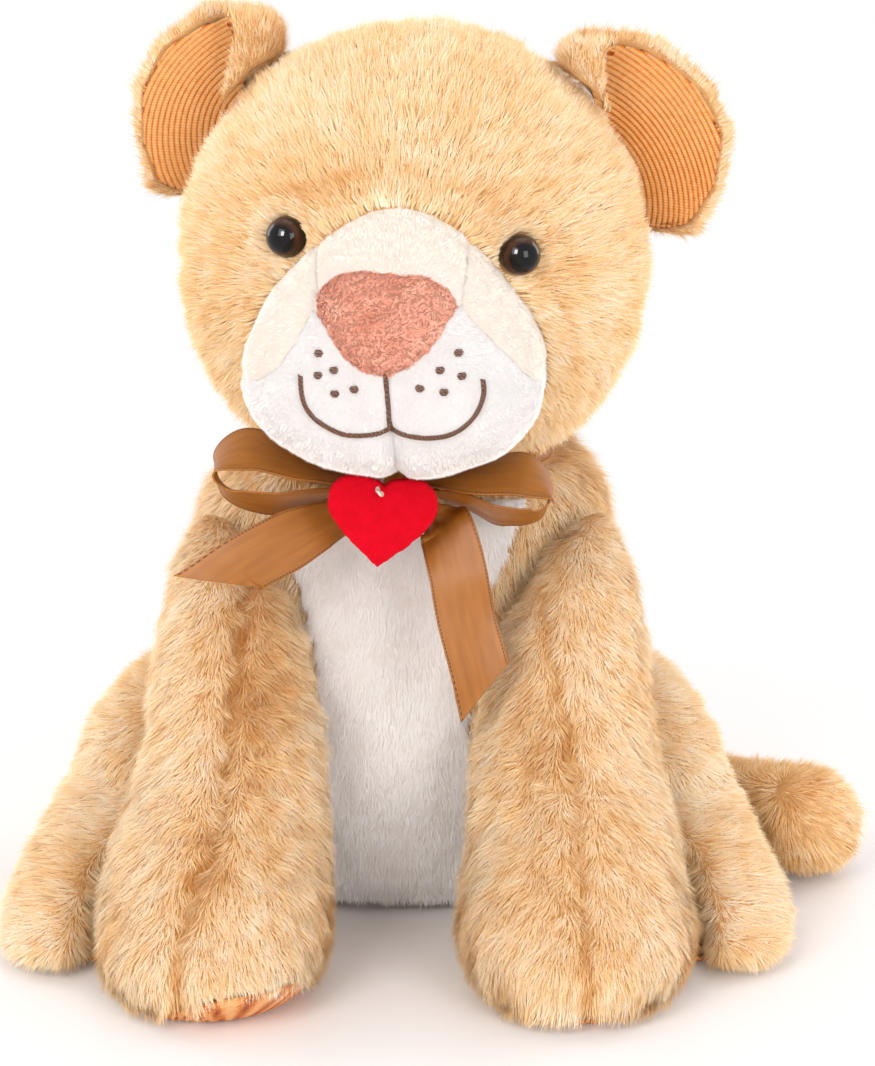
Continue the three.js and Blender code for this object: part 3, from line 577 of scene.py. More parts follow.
def make_group(name: str, ins: dict[str, float], outs: list[str]) -> tuple[NodeTree, Board, Node]:
    """A shader node group with named number inputs and outputs.

    Args:
        name: the group's name.
        ins: the inputs and their defaults.
        outs: the outputs.

    Returns:
        The group, a board for it, and its input node.
    """
    group = bpy.data.node_groups.new(name, "ShaderNodeTree")
    for key, value in ins.items():
        group.interface.new_socket(key, in_out="INPUT", socket_type="NodeSocketFloat").default_value = value
    for key in outs:
        group.interface.new_socket(key, in_out="OUTPUT", socket_type="NodeSocketFloat")
    board = Board(name, group)
    return group, board, board.add("NodeGroupInput")


class Effects:
    """The effects that several finishes share, each built once."""

    def __init__(self) -> None:
        """Builds the groups."""
        self.mottle = self._mottle()
        self.nap = self._nap()
        self.yarn = self._yarn()

    @staticmethod
    def _mottle() -> NodeTree:
        """Cloudy unevenness of colour, in two sizes.

        Returns:
            The group.
        """
        group, board, given = make_group("mottle", {"Large": 60.0, "Small": 400.0}, ["Value"])
        where = board.where()
        large = board.noise(where, given.outputs["Large"], 3.0)
        small = board.noise(where, given.outputs["Small"], 4.0)
        both = board.maths("MULTIPLY_ADD", large, 0.55, board.maths("MULTIPLY", small, 0.45))
        board.add("NodeGroupOutput", {"Value": both})
        return group

    @staticmethod
    def _nap() -> NodeTree:
        """The height of short fibres that lie every way.

        Returns:
            The group.
        """
        group, board, given = make_group("nap", {"Scale": 2500.0}, ["Height"])
        where = board.where()
        bend = board.add("ShaderNodeTexNoise", {"Vector": where, "Scale": 300.0, "Detail": 2.0})
        moved = board.add("ShaderNodeVectorMath", {0: where, 1: bend.outputs["Color"]}, operation="ADD")
        fine = board.add("ShaderNodeTexNoise", {"Vector": where, "Scale": given.outputs["Scale"], "Detail": 5.0,
                                                "Roughness": 0.7})
        cells = board.add("ShaderNodeTexVoronoi", {"Vector": moved.outputs[0], "Scale": given.outputs["Scale"]},
                          feature="SMOOTH_F1")
        both = board.maths("SUBTRACT", fine.outputs["Fac"], board.maths("MULTIPLY", cells.outputs["Distance"], 0.5))
        board.add("NodeGroupOutput", {"Height": both})
        return group

    @staticmethod
    def _yarn() -> NodeTree:
        """Threads that cross each other on a cloth's own map.

        Returns:
            The group.
        """
        group, board, given = make_group("yarn", {"Across": 60.0, "Along": 3000.0}, ["Height"])
        u, v = board.chart("cloth")
        warp = board.maths("SINE", board.maths("MULTIPLY", u, given.outputs["Across"]))
        weft = board.maths("SINE", board.maths("MULTIPLY", v, given.outputs["Along"]))
        height = board.maths("MULTIPLY_ADD", board.maths("MULTIPLY", warp, weft), 0.5, 0.5)
        board.add("NodeGroupOutput", {"Height": height})
        return group


@dataclass(frozen=True)
class Pile:
    """Strands of pile: their tones run from gaps to lit tips."""

    name: str
    dark: str
    middle: str
    light: str
    # How dark a strand's root is painted: painted shade for the gaps between strands.
    root: float = 0.9
    sheen: float = 0.4

    def material(self) -> Material:
        """The strands' material, read from their own map.

        Returns:
            The material.
        """
        board = Board(f"{self.name}_pile")
        u, v = board.chart(PILE_MAP)
        tone = board.ramp(u, [(0.0, self.dark), (0.5, self.middle), (1.0, self.light)])
        # Painted shade: each strand darkens towards its root, where shade falls between the strands.
        shade = board.between(v, 0.0, 0.75, self.root, 1.0)
        colour = board.add("ShaderNodeVectorMath", {0: tone, "Scale": shade}, operation="SCALE").outputs[0]
        return board.surface(colour, 0.8, Sheen_Weight=self.sheen, Sheen_Roughness=0.5, Sheen_Tint=linear(self.middle),
                             Specular_IOR_Level=0.12)


@dataclass(frozen=True)
class Backing:
    """The cloth that pile grows from."""

    name: str
    dark: str
    light: str

    def material(self, effects: Effects) -> Material:
        """Knitted backing with broken colour.

        Args:
            effects: the shared effects.

        Returns:
            The material.
        """
        board = Board(f"{self.name}_backing")
        cloud = board.effect(effects.mottle, Large=90.0, Small=700.0)
        colour = board.ramp(cloud, [(0.3, self.dark), (0.7, self.light)])
        bump = board.bump(board.effect(effects.nap, Scale=1800.0), 0.6, 0.0006)
        return board.surface(colour, 0.95, bump, Sheen_Weight=0.2, Specular_IOR_Level=0.1)


@dataclass(frozen=True)
class Nap:
    """Short cloth nap, such as the muzzle's, or felt."""

    name: str
    dark: str
    light: str
    grain: float = 2200.0
    depth: float = 0.0005
    sheen: float = 0.25
    cloud: float = 120.0
    gloss: float = 0.15

    def material(self, effects: Effects) -> Material:
        """Fine fibres with a little mottling.

        Args:
            effects: the shared effects.

        Returns:
            The material.
        """
        board = Board(self.name)
        cloud = board.effect(effects.mottle, Large=self.cloud, Small=self.grain / 2)
        colour = board.ramp(cloud, [(0.28, self.dark), (0.66, self.light)])
        bump = board.bump(board.effect(effects.nap, Scale=self.grain), 0.8, self.depth)
        rough = board.between(cloud, 0.2, 0.8, 0.86, 0.97)
        return board.surface(colour, rough, bump, Sheen_Weight=self.sheen, Specular_IOR_Level=self.gloss)


@dataclass(frozen=True)
class Corduroy:
    """Ribbed cloth. Its mesh has the ribs, and keeps their height and the distance along them in attributes."""

    name: str = "corduroy"
    groove: str = "#A04407"
    side: str = "#E87F20"
    crown: str = "#FFC07A"
    stitch: float = 0.00085

    def material(self, effects: Effects) -> Material:
        """Crowns painted lighter and grooves painted darker, as light and shade on the ribs, and small slanted
        stitches along each rib.

        Args:
            effects: the shared effects.

        Returns:
            The material.
        """
        board = Board(self.name)
        rib, along = board.kept("rib"), board.kept("along")
        wander = board.noise(board.where(), 700.0, 3.0)
        turn = board.maths("MULTIPLY", along, 2 * math.pi / self.stitch)
        turn = board.maths("MULTIPLY_ADD", rib, 1.6, board.maths("MULTIPLY_ADD", wander, 3.0, turn))
        cut = board.maths("SINE", turn)
        tone = board.maths("MULTIPLY_ADD", cut, 0.05, board.maths("MULTIPLY_ADD", wander, 0.24, -0.15))
        # Painted light and shade: the colour follows the rib's height, from dark grooves to lit crowns.
        colour = board.ramp(board.maths("ADD", tone, rib), [(0.3, self.groove), (0.74, self.side), (0.97, self.crown)])
        height = board.maths("MULTIPLY_ADD", cut, 0.2, board.effect(effects.nap, Scale=2600.0))
        return board.surface(colour, 0.9, board.bump(height, 0.7, 0.0004), Sheen_Weight=0.2, Specular_IOR_Level=0.12)


@dataclass(frozen=True)
class Satin:
    """Woven ribbon with a hem stitched along each edge."""

    name: str = "satin_ribbon"
    dark: str = "#92550D"
    light: str = "#A8661A"
    stitch: str = "#3E2008"
    hem: float = 0.032
    stitch_length: float = 0.0011

    def material(self, effects: Effects) -> Material:
        """Fine weave, soft streaks along the ribbon, and the two lines of stitches.

        Args:
            effects: the shared effects.

        Returns:
            The material.
        """
        board = Board(self.name)
        cloth = board.add("ShaderNodeUVMap", uv_map="cloth").outputs[0]
        u, v = board.chart("cloth")
        edge = board.maths("MINIMUM", u, board.maths("SUBTRACT", 1.0, u))
        stretched = board.add("ShaderNodeMapping", {"Vector": cloth, "Scale": (9.0, 60.0, 1.0)}).outputs[0]
        streak = board.noise(stretched, 1.0, 4.0)
        colour = board.ramp(streak, [(0.25, self.dark), (0.75, self.light)])
        from_hem = board.maths("ABSOLUTE", board.maths("SUBTRACT", edge, self.hem))
        line = board.between(from_hem, 0.004, 0.014, 1.0, 0.0)
        dash = board.maths("SINE", board.maths("MULTIPLY", v, 2 * math.pi / self.stitch_length))
        line = board.maths("MULTIPLY", line, board.between(dash, -0.6, 0.1, 0.0, 1.0))
        colour = board.mix(line, colour, linear(self.stitch))
        weave = board.effect(effects.yarn, Across=420.0, Along=14000.0)
        raised = board.maths("MULTIPLY_ADD", line, 1.2, board.between(edge, 0.0, self.hem, 1.0, 0.0))
        height = board.maths("ADD", board.maths("MULTIPLY", weave, 0.25), raised)
        rough = board.between(weave, 0.0, 1.0, 0.44, 0.34)
        return board.surface(colour, rough, board.bump(height, 0.5, 0.0003), Specular_IOR_Level=0.4, Anisotropic=0.5)


@dataclass(frozen=True)
class Thread:
    """Sewing thread or twisted string, on its own tube."""

    name: str
    dark: str
    light: str
    twist: float = 5200.0

    def material(self, effects: Effects) -> Material:
        """Plies that lie aslant, with stray fibres.

        Args:
            effects: the shared effects.

        Returns:
            The material.
        """
        board = Board(self.name)
        nap = board.effect(effects.nap, Scale=4200.0)
        wave = board.add("ShaderNodeTexWave", {"Vector": board.where(), "Scale": self.twist / 20, "Distortion": 2.0,
                                               "Detail": 2.0}, bands_direction="DIAGONAL").outputs["Fac"]
        colour = board.ramp(board.maths("MULTIPLY_ADD", nap, 0.4, wave), [(0.1, self.dark), (0.95, self.light)])
        bump = board.bump(board.maths("ADD", wave, nap), 0.6, 0.0002)
        return board.surface(colour, 0.6, bump, Sheen_Weight=0.2, Specular_IOR_Level=0.35)


@dataclass(frozen=True)
class EyeGloss:
    """A domed eye: dark in the middle, a brown ring by its rim, under clear gloss."""

    name: str = "eye_gloss"
    pupil: str = "#060404"
    ring: str = "#40220F"
    rim: str = "#1E1009"

    def material(self) -> Material:
        """Colour from how far out a point lies, with faint fibres in the ring and small scuffs in the gloss.

        Returns:
            The material.
        """
        board = Board(self.name)
        where = board.where()
        place = board.maths("MULTIPLY_ADD", board.noise(where, 1600.0, 4.0), 0.08, board.kept("out"))
        colour = board.ramp(place, [(0.0, self.pupil), (0.7, self.pupil), (0.82, self.ring), (0.93, self.ring),
                                    (1.0, self.rim)])
        scuff = board.between(board.noise(where, 500.0), 0.5, 0.9, 0.02, 0.07)
        return board.surface(colour, scuff, Specular_IOR_Level=0.3)


@dataclass(frozen=True)
class Moulded:
    """Plain moulded plastic."""

    name: str
    dark: str
    light: str

    def material(self, effects: Effects) -> Material:
        """A slight mottle and the fine roughness of the mould.

        Args:
            effects: the shared effects.

        Returns:
            The material.
        """
        board = Board(self.name)
        cloud = board.effect(effects.mottle, Large=200.0, Small=1500.0)
        colour = board.ramp(cloud, [(0.3, self.dark), (0.7, self.light)])
        return board.surface(colour, board.between(cloud, 0.2, 0.8, 0.4, 0.55), board.bump(cloud, 0.15, 0.0002))


def paint(obj: Object, material: Material) -> None:
    """Gives a piece its only material."""
    obj.data.materials.clear()
    obj.data.materials.append(material)


def attribute(obj: Object, name: str, values: Array) -> None:
    """Keeps one number for each point of a piece's mesh."""
    layer = obj.data.attributes.new(name, "FLOAT", "POINT")
    layer.data.foreach_set("value", np.asarray(values, np.float32))


def dress(obj: Object, material: Material, body: str, slot: str, *nodes: str) -> None:
    """Gives a piece its material and its body, and hides the nodes that it stands for.

    Args:
        obj: the piece.
        material: its material.
        body: the body that it rides on.
        slot: the record's material slot; not used.
        *nodes: the CAD nodes that it replaces.
    """
    paint(obj, material)
    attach(obj, body)
    if nodes:
        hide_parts(*nodes)
    LOG.info("%s rides on %s", obj.name, body)


# ------ skins

FRONT_SEAM_RIGHT = [(-43.6, 118), (-43.6, 111.8), (-47.8, 79.5), (-49.4, 60), (-51.4, 47), (-57.9, 37), (-61, 22),
                    (-62.5, 4)]
FRONT_SEAM_LEFT = [(45.3, 108), (45.3, 98.8), (51.7, 69), (54, 42.5), (56, 9), (56.5, 2)]


@dataclass
class Skin:
    """A stuffed piece's cloth: the frame's solid rounded, puffed where it is free, and creased at its seams."""

    node: str
    body: str
    slot: str
    voxel: float = 4.5
    inset: float = 2.2
    puff: float = 2.2
    lumps: float = 0.7
    rounds: int = 6
    creases: list[tuple[Line, float, float]] = field(default_factory=list)
    obj: Object | None = None

    def build(self, material: Material) -> "Skin":
        """Args:
            material: the backing's material.

        Returns:
            The skin itself.
        """
        mesh = bpy.data.meshes.new(f"{self.node}_skin")
        shell = bmesh.new()
        shell.from_mesh(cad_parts[self.node].data)
        bmesh.ops.remove_doubles(shell, verts=shell.verts, dist=1e-6)
        shell.to_mesh(mesh)
        shell.free()
        self.obj = new_object(f"{self.node}_skin", mesh)
        select_only(self.obj)
        modified(self.obj, "REMESH", mode="VOXEL", voxel_size=self.voxel * MM)
        modified(self.obj, "SMOOTH", factor=0.5, iterations=self.rounds)
        self._carve()
        if self.puff:
            self._swell()
        modified(self.obj, "SUBSURF", levels=1, render_levels=1)
        self._crease()
        bpy.ops.object.shade_smooth()
        dress(self.obj, material, self.body, self.slot, self.node)
        return self

    def _write(self, points: Array) -> None:
        """Puts moved points back into the mesh, none of them under the floor."""
        points[:, 2] = np.maximum(points[:, 2], SKIN_CLEARANCE)
        move_points(self.obj, points)

    def _carve(self) -> None:
        """Draws the cloth in under its pile, and lets the filling lump a little."""
        skin = Surface.of(self.obj)
        lump = waves(skin.points, 0.045, len(self.node)) * self.lumps
        lump += waves(skin.points, 0.02, 5) * self.lumps * 0.4
        self._write(skin.points + skin.normals * ((lump - self.inset) * MM)[:, None])

    def _swell(self) -> None:
        """Puffs the cloth up with a pressure simulation, which is capped and then kept as the mesh."""
        before = Surface.of(self.obj).points
        cloth = self.obj.modifiers.new("filling", "CLOTH")
        cloth.settings.use_pressure = True
        cloth.settings.uniform_pressure_force = 4.0
        cloth.settings.effector_weights.gravity = 0.0
        cloth.settings.quality = 4
        scene = bpy.context.scene
        for step in range(1, 16):
            scene.frame_set(step)
        shown = self.obj.evaluated_get(bpy.context.evaluated_depsgraph_get()).data
        after = np.empty(len(shown.vertices) * 3, np.float32)
        shown.vertices.foreach_get("co", after)
        self.obj.modifiers.remove(cloth)
        scene.frame_set(1)
        move = after.reshape(-1, 3).astype(float) - before
        far = np.linalg.norm(move, axis=1, keepdims=True)
        self._write(before + move * np.minimum(1.0, self.puff * MM / np.maximum(far, 1e-9)))

    def open_hem(self, hem: Callable[[Array], Array]) -> None:
        """Draws the cloth's lower edge up to a hem line, in metres above the floor.

        Args:
            hem: how high the line lies at some points.
        """
        points = Surface.of(self.obj).points
        rise = hem(points)
        top = rise + 0.004
        low = (points[:, 2] < top) & (rise > 0.0005)
        points[low, 2] = (rise + 0.004 * points[:, 2] / top)[low]
        self._write(points)

    def _crease(self) -> None:
        """Sinks the seams that show at the front."""
        if not self.creases:
            return
        skin = Surface.of(self.obj)
        front = np.clip(-skin.normals[:, 1] * 2, 0, 1)
        sink = np.zeros(len(skin.points))
        for line, wide, deep in self.creases:
            away = line_distance(skin.points[:, [0, 2]] / MM, line)
            sink = np.maximum(sink, deep * np.exp(-(away / wide) ** 2))
        self._write(skin.points - skin.normals * (sink * front * MM)[:, None])


# ------ pile

TAIL_ROUTE = np.array([[10.2, 43.2, 12], [38.1, 57.2, 12.5], [71.1, 49.7, 13], [101.6, 22.7, 15], [124.5, -6.5, 19],
                       [139.7, -25.9, 22.5]]) * MM
EAR_SEATS = {Side.LEFT: (46.0, 16.0, 8.0), Side.RIGHT: (-48.0, 16.0, 8.0)}


def comb_field(comb: Comb, side: Side = Side.LEFT) -> Field:
    """The way that the pile of a piece runs.

    Args:
        comb: how it is combed.
        side: the side of the piece, where it has one.

    Returns:
        A function from points and normals to directions.
    """
    sign = side.value

    def face(points: Array, normals: Array) -> Array:
        """Away from the muzzle, and down at the cheeks and the back.

        Args:
            points: the strands' roots, in metres.
            normals: the cloth's normals there; not used.

        Returns:
            One direction for each.
        """
        heart = on_head([(0.0, -92.0, -14.0)])[0]
        way = unit(points - heart)
        low = np.clip((0.205 - points[:, 2]) / 0.05, 0, 1)[:, None]
        back = np.clip((points[:, 1] - 0.0) / 0.05, 0, 1)[:, None]
        return way + np.array([0, 0, -0.8]) * low + np.array([0, 0, -1.3]) * back

    def down(points: Array, normals: Array) -> Array:
        """Straight down, and a little outwards."""
        return np.stack([points[:, 0] * 2.0, points[:, 1] * 0, np.full(len(points), -1.0)], axis=-1)

    def paw(points: Array, normals: Array) -> Array:
        """Down the leg and forward over the paw, parting at the seam.

        Args:
            points: the strands' roots, in metres.
            normals: the cloth's normals there; not used.

        Returns:
            One direction for each.
        """
        low = np.clip((0.06 - points[:, 2]) / 0.06, 0, 1)
        seam = np.interp(points[:, 2] / MM, [9, 22, 47, 60, 80, 112], [62, 60, 52, 50, 48, 44]) * MM * sign
        part = np.clip((points[:, 0] - seam) / 0.02, -1, 1) * 0.3
        return np.stack([part, -0.12 - 0.75 * low, np.full(len(points), -1.0) + 0.35 * low], axis=-1)

    def haunch(points: Array, normals: Array) -> Array:
        """Down and back over the thigh, and outwards round the foot."""
        low = np.clip((0.05 - points[:, 2]) / 0.05, 0, 1)
        return np.stack([sign * (0.3 + 0.3 * low), 0.4 - 0.2 * low, -0.9 + 0.1 * low], axis=-1)

    def tail(points: Array, normals: Array) -> Array:
        """Along the tail, back over its top and down its sides.

        Args:
            points: the strands' roots, in metres.
            normals: the cloth's normals there; not used.

        Returns:
            One direction for each.
        """
        line = route_points(TAIL_ROUTE, np.linspace(0, 1, 60))
        run = unit(np.gradient(line, axis=0))
        near = np.argmin(((points[:, None, :2] - line[None, :, :2]) ** 2).sum(axis=2), axis=1)
        return run[near] * 0.5 + np.array([0, 0.6, -0.5])

    def ear(points: Array, normals: Array) -> Array:
        """Outwards from the ear's seam."""
        back = np.array([0, 1.1, 0]) * np.clip(1 - np.abs(normals[:, 1]), 0, 1)[:, None]
        return unit(points - on_head([EAR_SEATS[side]])[0]) + np.array([0, 0, 0.15]) + back

    def muzzle(points: Array, normals: Array) -> Array:
        """Away from the nose, and a little down."""
        return unit(points - on_head([(0.0, -104.0, -2.0)])[0]) + np.array([0, 0, -0.2])

    def nose(points: Array, normals: Array) -> Array:
        """Round in small curls."""
        turn = 2.6 * waves(points, 0.0036, 71)
        return np.stack([np.cos(turn), 0 * turn, np.sin(turn)], axis=-1)

    return {Comb.FACE: face, Comb.DOWN: down, Comb.PAW: paw, Comb.HAUNCH: haunch, Comb.TAIL: tail, Comb.EAR: ear,
            Comb.MUZZLE: muzzle, Comb.NOSE: nose}[comb]


@dataclass(frozen=True)
class Coat:
    """One layer of pile. A bent strand has three faces, and a straight one has one."""

    length: float
    width: float
    density: float
    root_lift: float
    tip_lift: float = 8.0
    bent: bool = True
    tone: float = 0.0


@dataclass(frozen=True)
class Ruffle:
    """A place, seen from the front, where the pile is rubbed up: its strands stand higher, and are painted darker as
    the shade of their shaded side.
    """

    x: float
    z: float
    wide: float
    high: float
    share: float = 1.0

    def at(self, points: Array) -> Array:
        """How ruffled the pile is at some points, from 0 to 1."""
        away = ((points[:, 0] / MM - self.x) / self.wide) ** 2 + ((points[:, 2] / MM - self.z) / self.high) ** 2
        return self.share * np.exp(-away)


LONG_PILE = (Coat(5.0, 0.38, 2.6, 18, bent=False, tone=-0.08), Coat(7.2, 0.34, 2.4, 25, bent=False))


@dataclass
class Strands:
    """The pile of one piece, as flat tapering strands in objects of their own."""

    name: str
    body: str
    slot: str
    way: Field
    coats: tuple[Coat, ...] = LONG_PILE
    wander: float = 22.0
    tuft: float = 9.0
    seed: int = 1
    uneven: float = 0.15
    shade: float = 0.42
    # Patches where the pile stands higher and is painted darker, as shade.
    ruffles: tuple[Ruffle, ...] = ()
    # Lines along which the pile is painted darker, as shade in the creases of the seams.
    seams: tuple[tuple[Line, float], ...] = ()

    def grow(self, skin: Surface, free: Array, hard: BVHTree, material: Material) -> int:
        """Grows the pile on a skin.

        Args:
            skin: the surface.
            free: how much of the pile each of its points carries, from 0 to 1.
            hard: what the strands must not run through.
            material: the strands' material.

        Returns:
            How many triangles it took.
        """
        longest = max(coat.length for coat in self.coats) * 1.4 * MM
        near = np.zeros(len(skin.points), bool)
        for i in np.flatnonzero(free > 0):
            near[i] = hard.find_nearest(Vector(skin.points[i]), longest)[0] is not None
        corner = skin.points[skin.triangles]
        area = np.linalg.norm(np.cross(corner[:, 1] - corner[:, 0], corner[:, 2] - corner[:, 0]), axis=1) / 2
        weight = area * free[skin.triangles].mean(axis=1)
        total = 0
        for number, coat in enumerate(self.coats):
            count = int(weight.sum() / MM ** 2 * coat.density)
            if count > 9:
                rng = np.random.default_rng(self.seed + number * 997)
                pick = rng.choice(len(area), count, p=weight / weight.sum())
                total += self._coat(number, coat, skin, pick, near, hard, material, rng)
        LOG.info("%s has %d triangles", self.name, total)
        return total

    def _coat(self, number: int, coat: Coat, skin: Surface, pick: Array, near: Array, hard: BVHTree,
              material: Material, rng: np.random.Generator) -> int:
        """Grows one coat on the chosen triangles.

        Args:
            number: which coat it is.
            coat: its sizes.
            skin: the surface.
            pick: one triangle for each strand.
            near: which points have something hard near them.
            hard: what the strands must not run through.
            material: the strands' material.
            rng: the draws.

        Returns:
            How many triangles it took.
        """
        count = len(pick)
        a, b = rng.random(count), rng.random(count)
        over = a + b > 1
        a[over], b[over] = 1 - a[over], 1 - b[over]
        share = np.stack([1 - a - b, a, b], axis=-1)[..., None]
        tri = skin.triangles[pick]
        root = (skin.points[tri] * share).sum(axis=1)
        out = unit((skin.normals[tri] * share).sum(axis=1))
        # How ruffled each strand is: it lifts the strand, and paints it darker as shade.
        ruffled = sum((ruffle.at(root) for ruffle in self.ruffles), np.zeros(count)) * np.clip(-out[:, 1] * 1.5, 0, 1)
        way = self._ways(root, out, ruffled, rng)
        size = coat.length * MM * (1 + 0.14 * waves(root, 0.018, self.seed + 3) + rng.normal(0, 0.1, count))
        outward = np.clip(((unit(self.way(root, out)) * out).sum(axis=1) - 0.8) / 0.2, 0, 1)
        lift = 1 + 0.3 * waves(root, self.tuft * MM, self.seed + 7) + 0.55 * ruffled + 1.7 * outward
        low = np.radians(np.clip(coat.root_lift * lift + rng.normal(0, 5, count), 7, 75))[:, None]
        high = np.radians(coat.tip_lift * lift + rng.normal(0, 4, count))[:, None] if coat.bent else low
        start = root - out * 0.0006
        lower, upper = way * np.cos(low) + out * np.sin(low), way * np.cos(high) + out * np.sin(high)
        size, keep = self._cleared(start, out, lower, upper, size, near[tri].any(axis=1), hard)
        half = size[:, None] / 2
        across = np.cross(out, way)
        wide = across * (coat.width * MM / 2) * rng.uniform(0.75, 1.25, count)[:, None]
        bend, tip = start + lower * half, start + (lower + upper) * half
        face = unit(np.cross(lower + upper, across))
        base = out * 0.1 + face * 0.9
        if coat.bent:
            points = np.stack([start - wide * 0.8, start + wide * 0.8, bend - wide, bend + wide, tip], axis=1)
            normals = np.stack([base - across * 0.25, base + across * 0.25] * 2 + [base], axis=1)
        else:
            points = np.stack([start - wide, start + wide, tip], axis=1)
            normals = np.stack([base - across * 0.25, base + across * 0.25, base], axis=1)
        points[..., 2] = np.maximum(points[..., 2], PILE_CLEARANCE)
        tone = self._tones(root, out, ruffled, rng) + coat.tone
        column = np.clip(tone * TONES, 0, TONES - 1).astype(int)
        faces = 3 if coat.bent else 1
        kept = np.flatnonzero(keep)
        for part, chunk in enumerate(np.array_split(kept, max(1, math.ceil(len(kept) * faces / MOST_TRIANGLES)))):
            self._mesh(f"{self.name}_{number}_{part}", points[chunk], unit(normals[chunk]), column[chunk], material)
        return len(kept) * faces

    def _ways(self, root: Array, out: Array, ruffled: Array, rng: np.random.Generator) -> Array:
        """The strands' directions along the cloth.

        Args:
            root: the strands' roots.
            out: the cloth's normals there.
            ruffled: how ruffled each is.
            rng: the draws.

        Returns:
            One direction for each.
        """
        way = self.way(root, out)
        way = unit(way - out * (way * out).sum(axis=1, keepdims=True))
        turn = waves(root, self.tuft * MM, self.seed + 11) + 0.5 * waves(root, self.tuft * MM / 2.3, self.seed + 13)
        turn = self.wander * turn * (1 + 1.2 * ruffled)
        turn = np.radians(turn + rng.normal(0, 10, len(root)))[:, None]
        return way * np.cos(turn) + np.cross(out, way) * np.sin(turn)

    def _tones(self, root: Array, out: Array, ruffled: Array, rng: np.random.Generator) -> Array:
        """How light each strand is, from 0 to 1: painted darker as shade where it is ruffled, and in the creases by
        the seams.

        Args:
            root: the strands' roots.
            out: the cloth's normals there.
            ruffled: how ruffled each is.
            rng: the draws.

        Returns:
            One tone for each.
        """
        tone = 0.6 + 0.13 * waves(root, 0.03, self.seed + 17) + 0.15 * waves(root, 0.007, self.seed + 19)
        # Painted shade: ruffled strands are darkened.
        tone = tone + rng.normal(0, self.uneven, len(root)) - self.shade * ruffled
        # Painted shade: strands near a seam's crease are darkened.
        for line, wide in self.seams:
            away = line_distance(root[:, [0, 2]] / MM, line)
            tone -= self.shade * np.exp(-(away / wide) ** 2) * (out[:, 1] < 0)
        return tone

    @staticmethod
    def _cleared(start: Array, out: Array, lower: Array, upper: Array, size: Array,
                 near: Array, hard: BVHTree) -> tuple[Array, Array]:
        """Shortens the strands that would run into something hard, and drops those under it.

        Args:
            start: the roots.
            out: the cloth's normals there.
            lower: the lower halves' directions.
            upper: the upper halves' directions.
            size: the lengths.
            near: which strands have something hard near them.
            hard: what they must not run through.

        Returns:
            The new lengths, and which strands stay.
        """
        size = size.copy()
        keep = np.ones(len(start), bool)
        for i in np.flatnonzero(near):
            up, foot = Vector(out[i]), Vector(start[i] + out[i] * 0.0009)
            if hard.ray_cast(foot, up, 0.003)[0] is not None:
                keep[i] = False
                continue
            half, first = size[i] / 2, Vector(lower[i])
            reach = hard.ray_cast(foot, first, half)[3]
            if reach is None:
                second = hard.ray_cast(foot + first * half, Vector(upper[i]), half)[3]
                reach = None if second is None else half + second
            if reach is not None:
                size[i] = reach * 0.92
                keep[i] = size[i] > 0.0012
        return size, keep

    def _mesh(self, name: str, points: Array, normals: Array, column: Array,
              material: Material) -> None:
        """Makes one object of strands.

        Args:
            name: its name.
            points: the strands' corners.
            normals: their normals.
            column: each strand's tone, as a column of the map.
            material: the material.
        """
        count, corners = points.shape[:2]
        shape = np.array([[0, 3, 1], [0, 2, 3], [2, 4, 3]] if corners == 5 else [[0, 2, 1]])
        faces = (shape[None] + (np.arange(count) * corners)[:, None, None]).reshape(-1, 3)
        made = polygons(name, points.reshape(-1, 3), faces)
        across = [0.15, 0.85, 0.15, 0.85, 0.5] if corners == 5 else [0.15, 0.85, 0.5]
        along = [0.02, 0.02, 0.5, 0.5, 0.98] if corners == 5 else [0.02, 0.02, 0.98]
        u = (column[:, None] + np.array(across)) / TONES
        value = np.stack([u, np.broadcast_to(along, u.shape)], axis=-1).reshape(-1, 2)[faces.ravel()]
        made.data.uv_layers.new(name=PILE_MAP).data.foreach_set("uv", value.astype(np.float32).ravel())
        made.data.normals_split_custom_set_from_vertices(normals.reshape(-1, 3))
        dress(made, material, self.body, self.slot)


def beside(skin: Surface, tree: BVHTree, reach: float) -> Array:
    """Where a skin lies beside something, from 0 to 1.

    Args:
        skin: the surface.
        tree: what it may lie beside.
        reach: the reach, in millimetres.

    Returns:
        One number for each point.
    """
    near = np.zeros(len(skin.points))
    for i, point in enumerate(skin.points):
        near[i] = tree.find_nearest(Vector(point), reach * MM)[0] is not None
    return near


def reach_of(skin: Surface, others: list[BVHTree], gap: float = 0.004) -> Array:
    """How free each point of a skin is of the skins pressed on it.

    Args:
        skin: the surface.
        others: its neighbours.
        gap: how near a neighbour hides the pile.

    Returns:
        0 where a neighbour lies on it, and 1 where it is free.
    """
    free = np.ones(len(skin.points))
    for i, (point, out) in enumerate(zip(skin.points, skin.normals)):
        start, up = Vector(point), Vector(out)
        for tree in others:
            hit = tree.ray_cast(start + up * 0.0004, up, gap)
            if hit[0] is not None:
                free[i] = 0
                break
            back = tree.ray_cast(start, -up, 0.02)
            if back[0] is not None and back[1].dot(-up) > 0:
                free[i] = 0
                break
    return free


# ------ the face

MUZZLE_ROWS = [[0, 0, 0], [0.02, 0.9, 0.9, 0.03], [0.34, 1, 1, 0], [0.6, 0.97, 0.93, -0.01], [0.8, 0.84, 0.78, -0.03],
               [0.93, 0.58, 0.52, -0.05], [1, 0, 0, -0.06]]

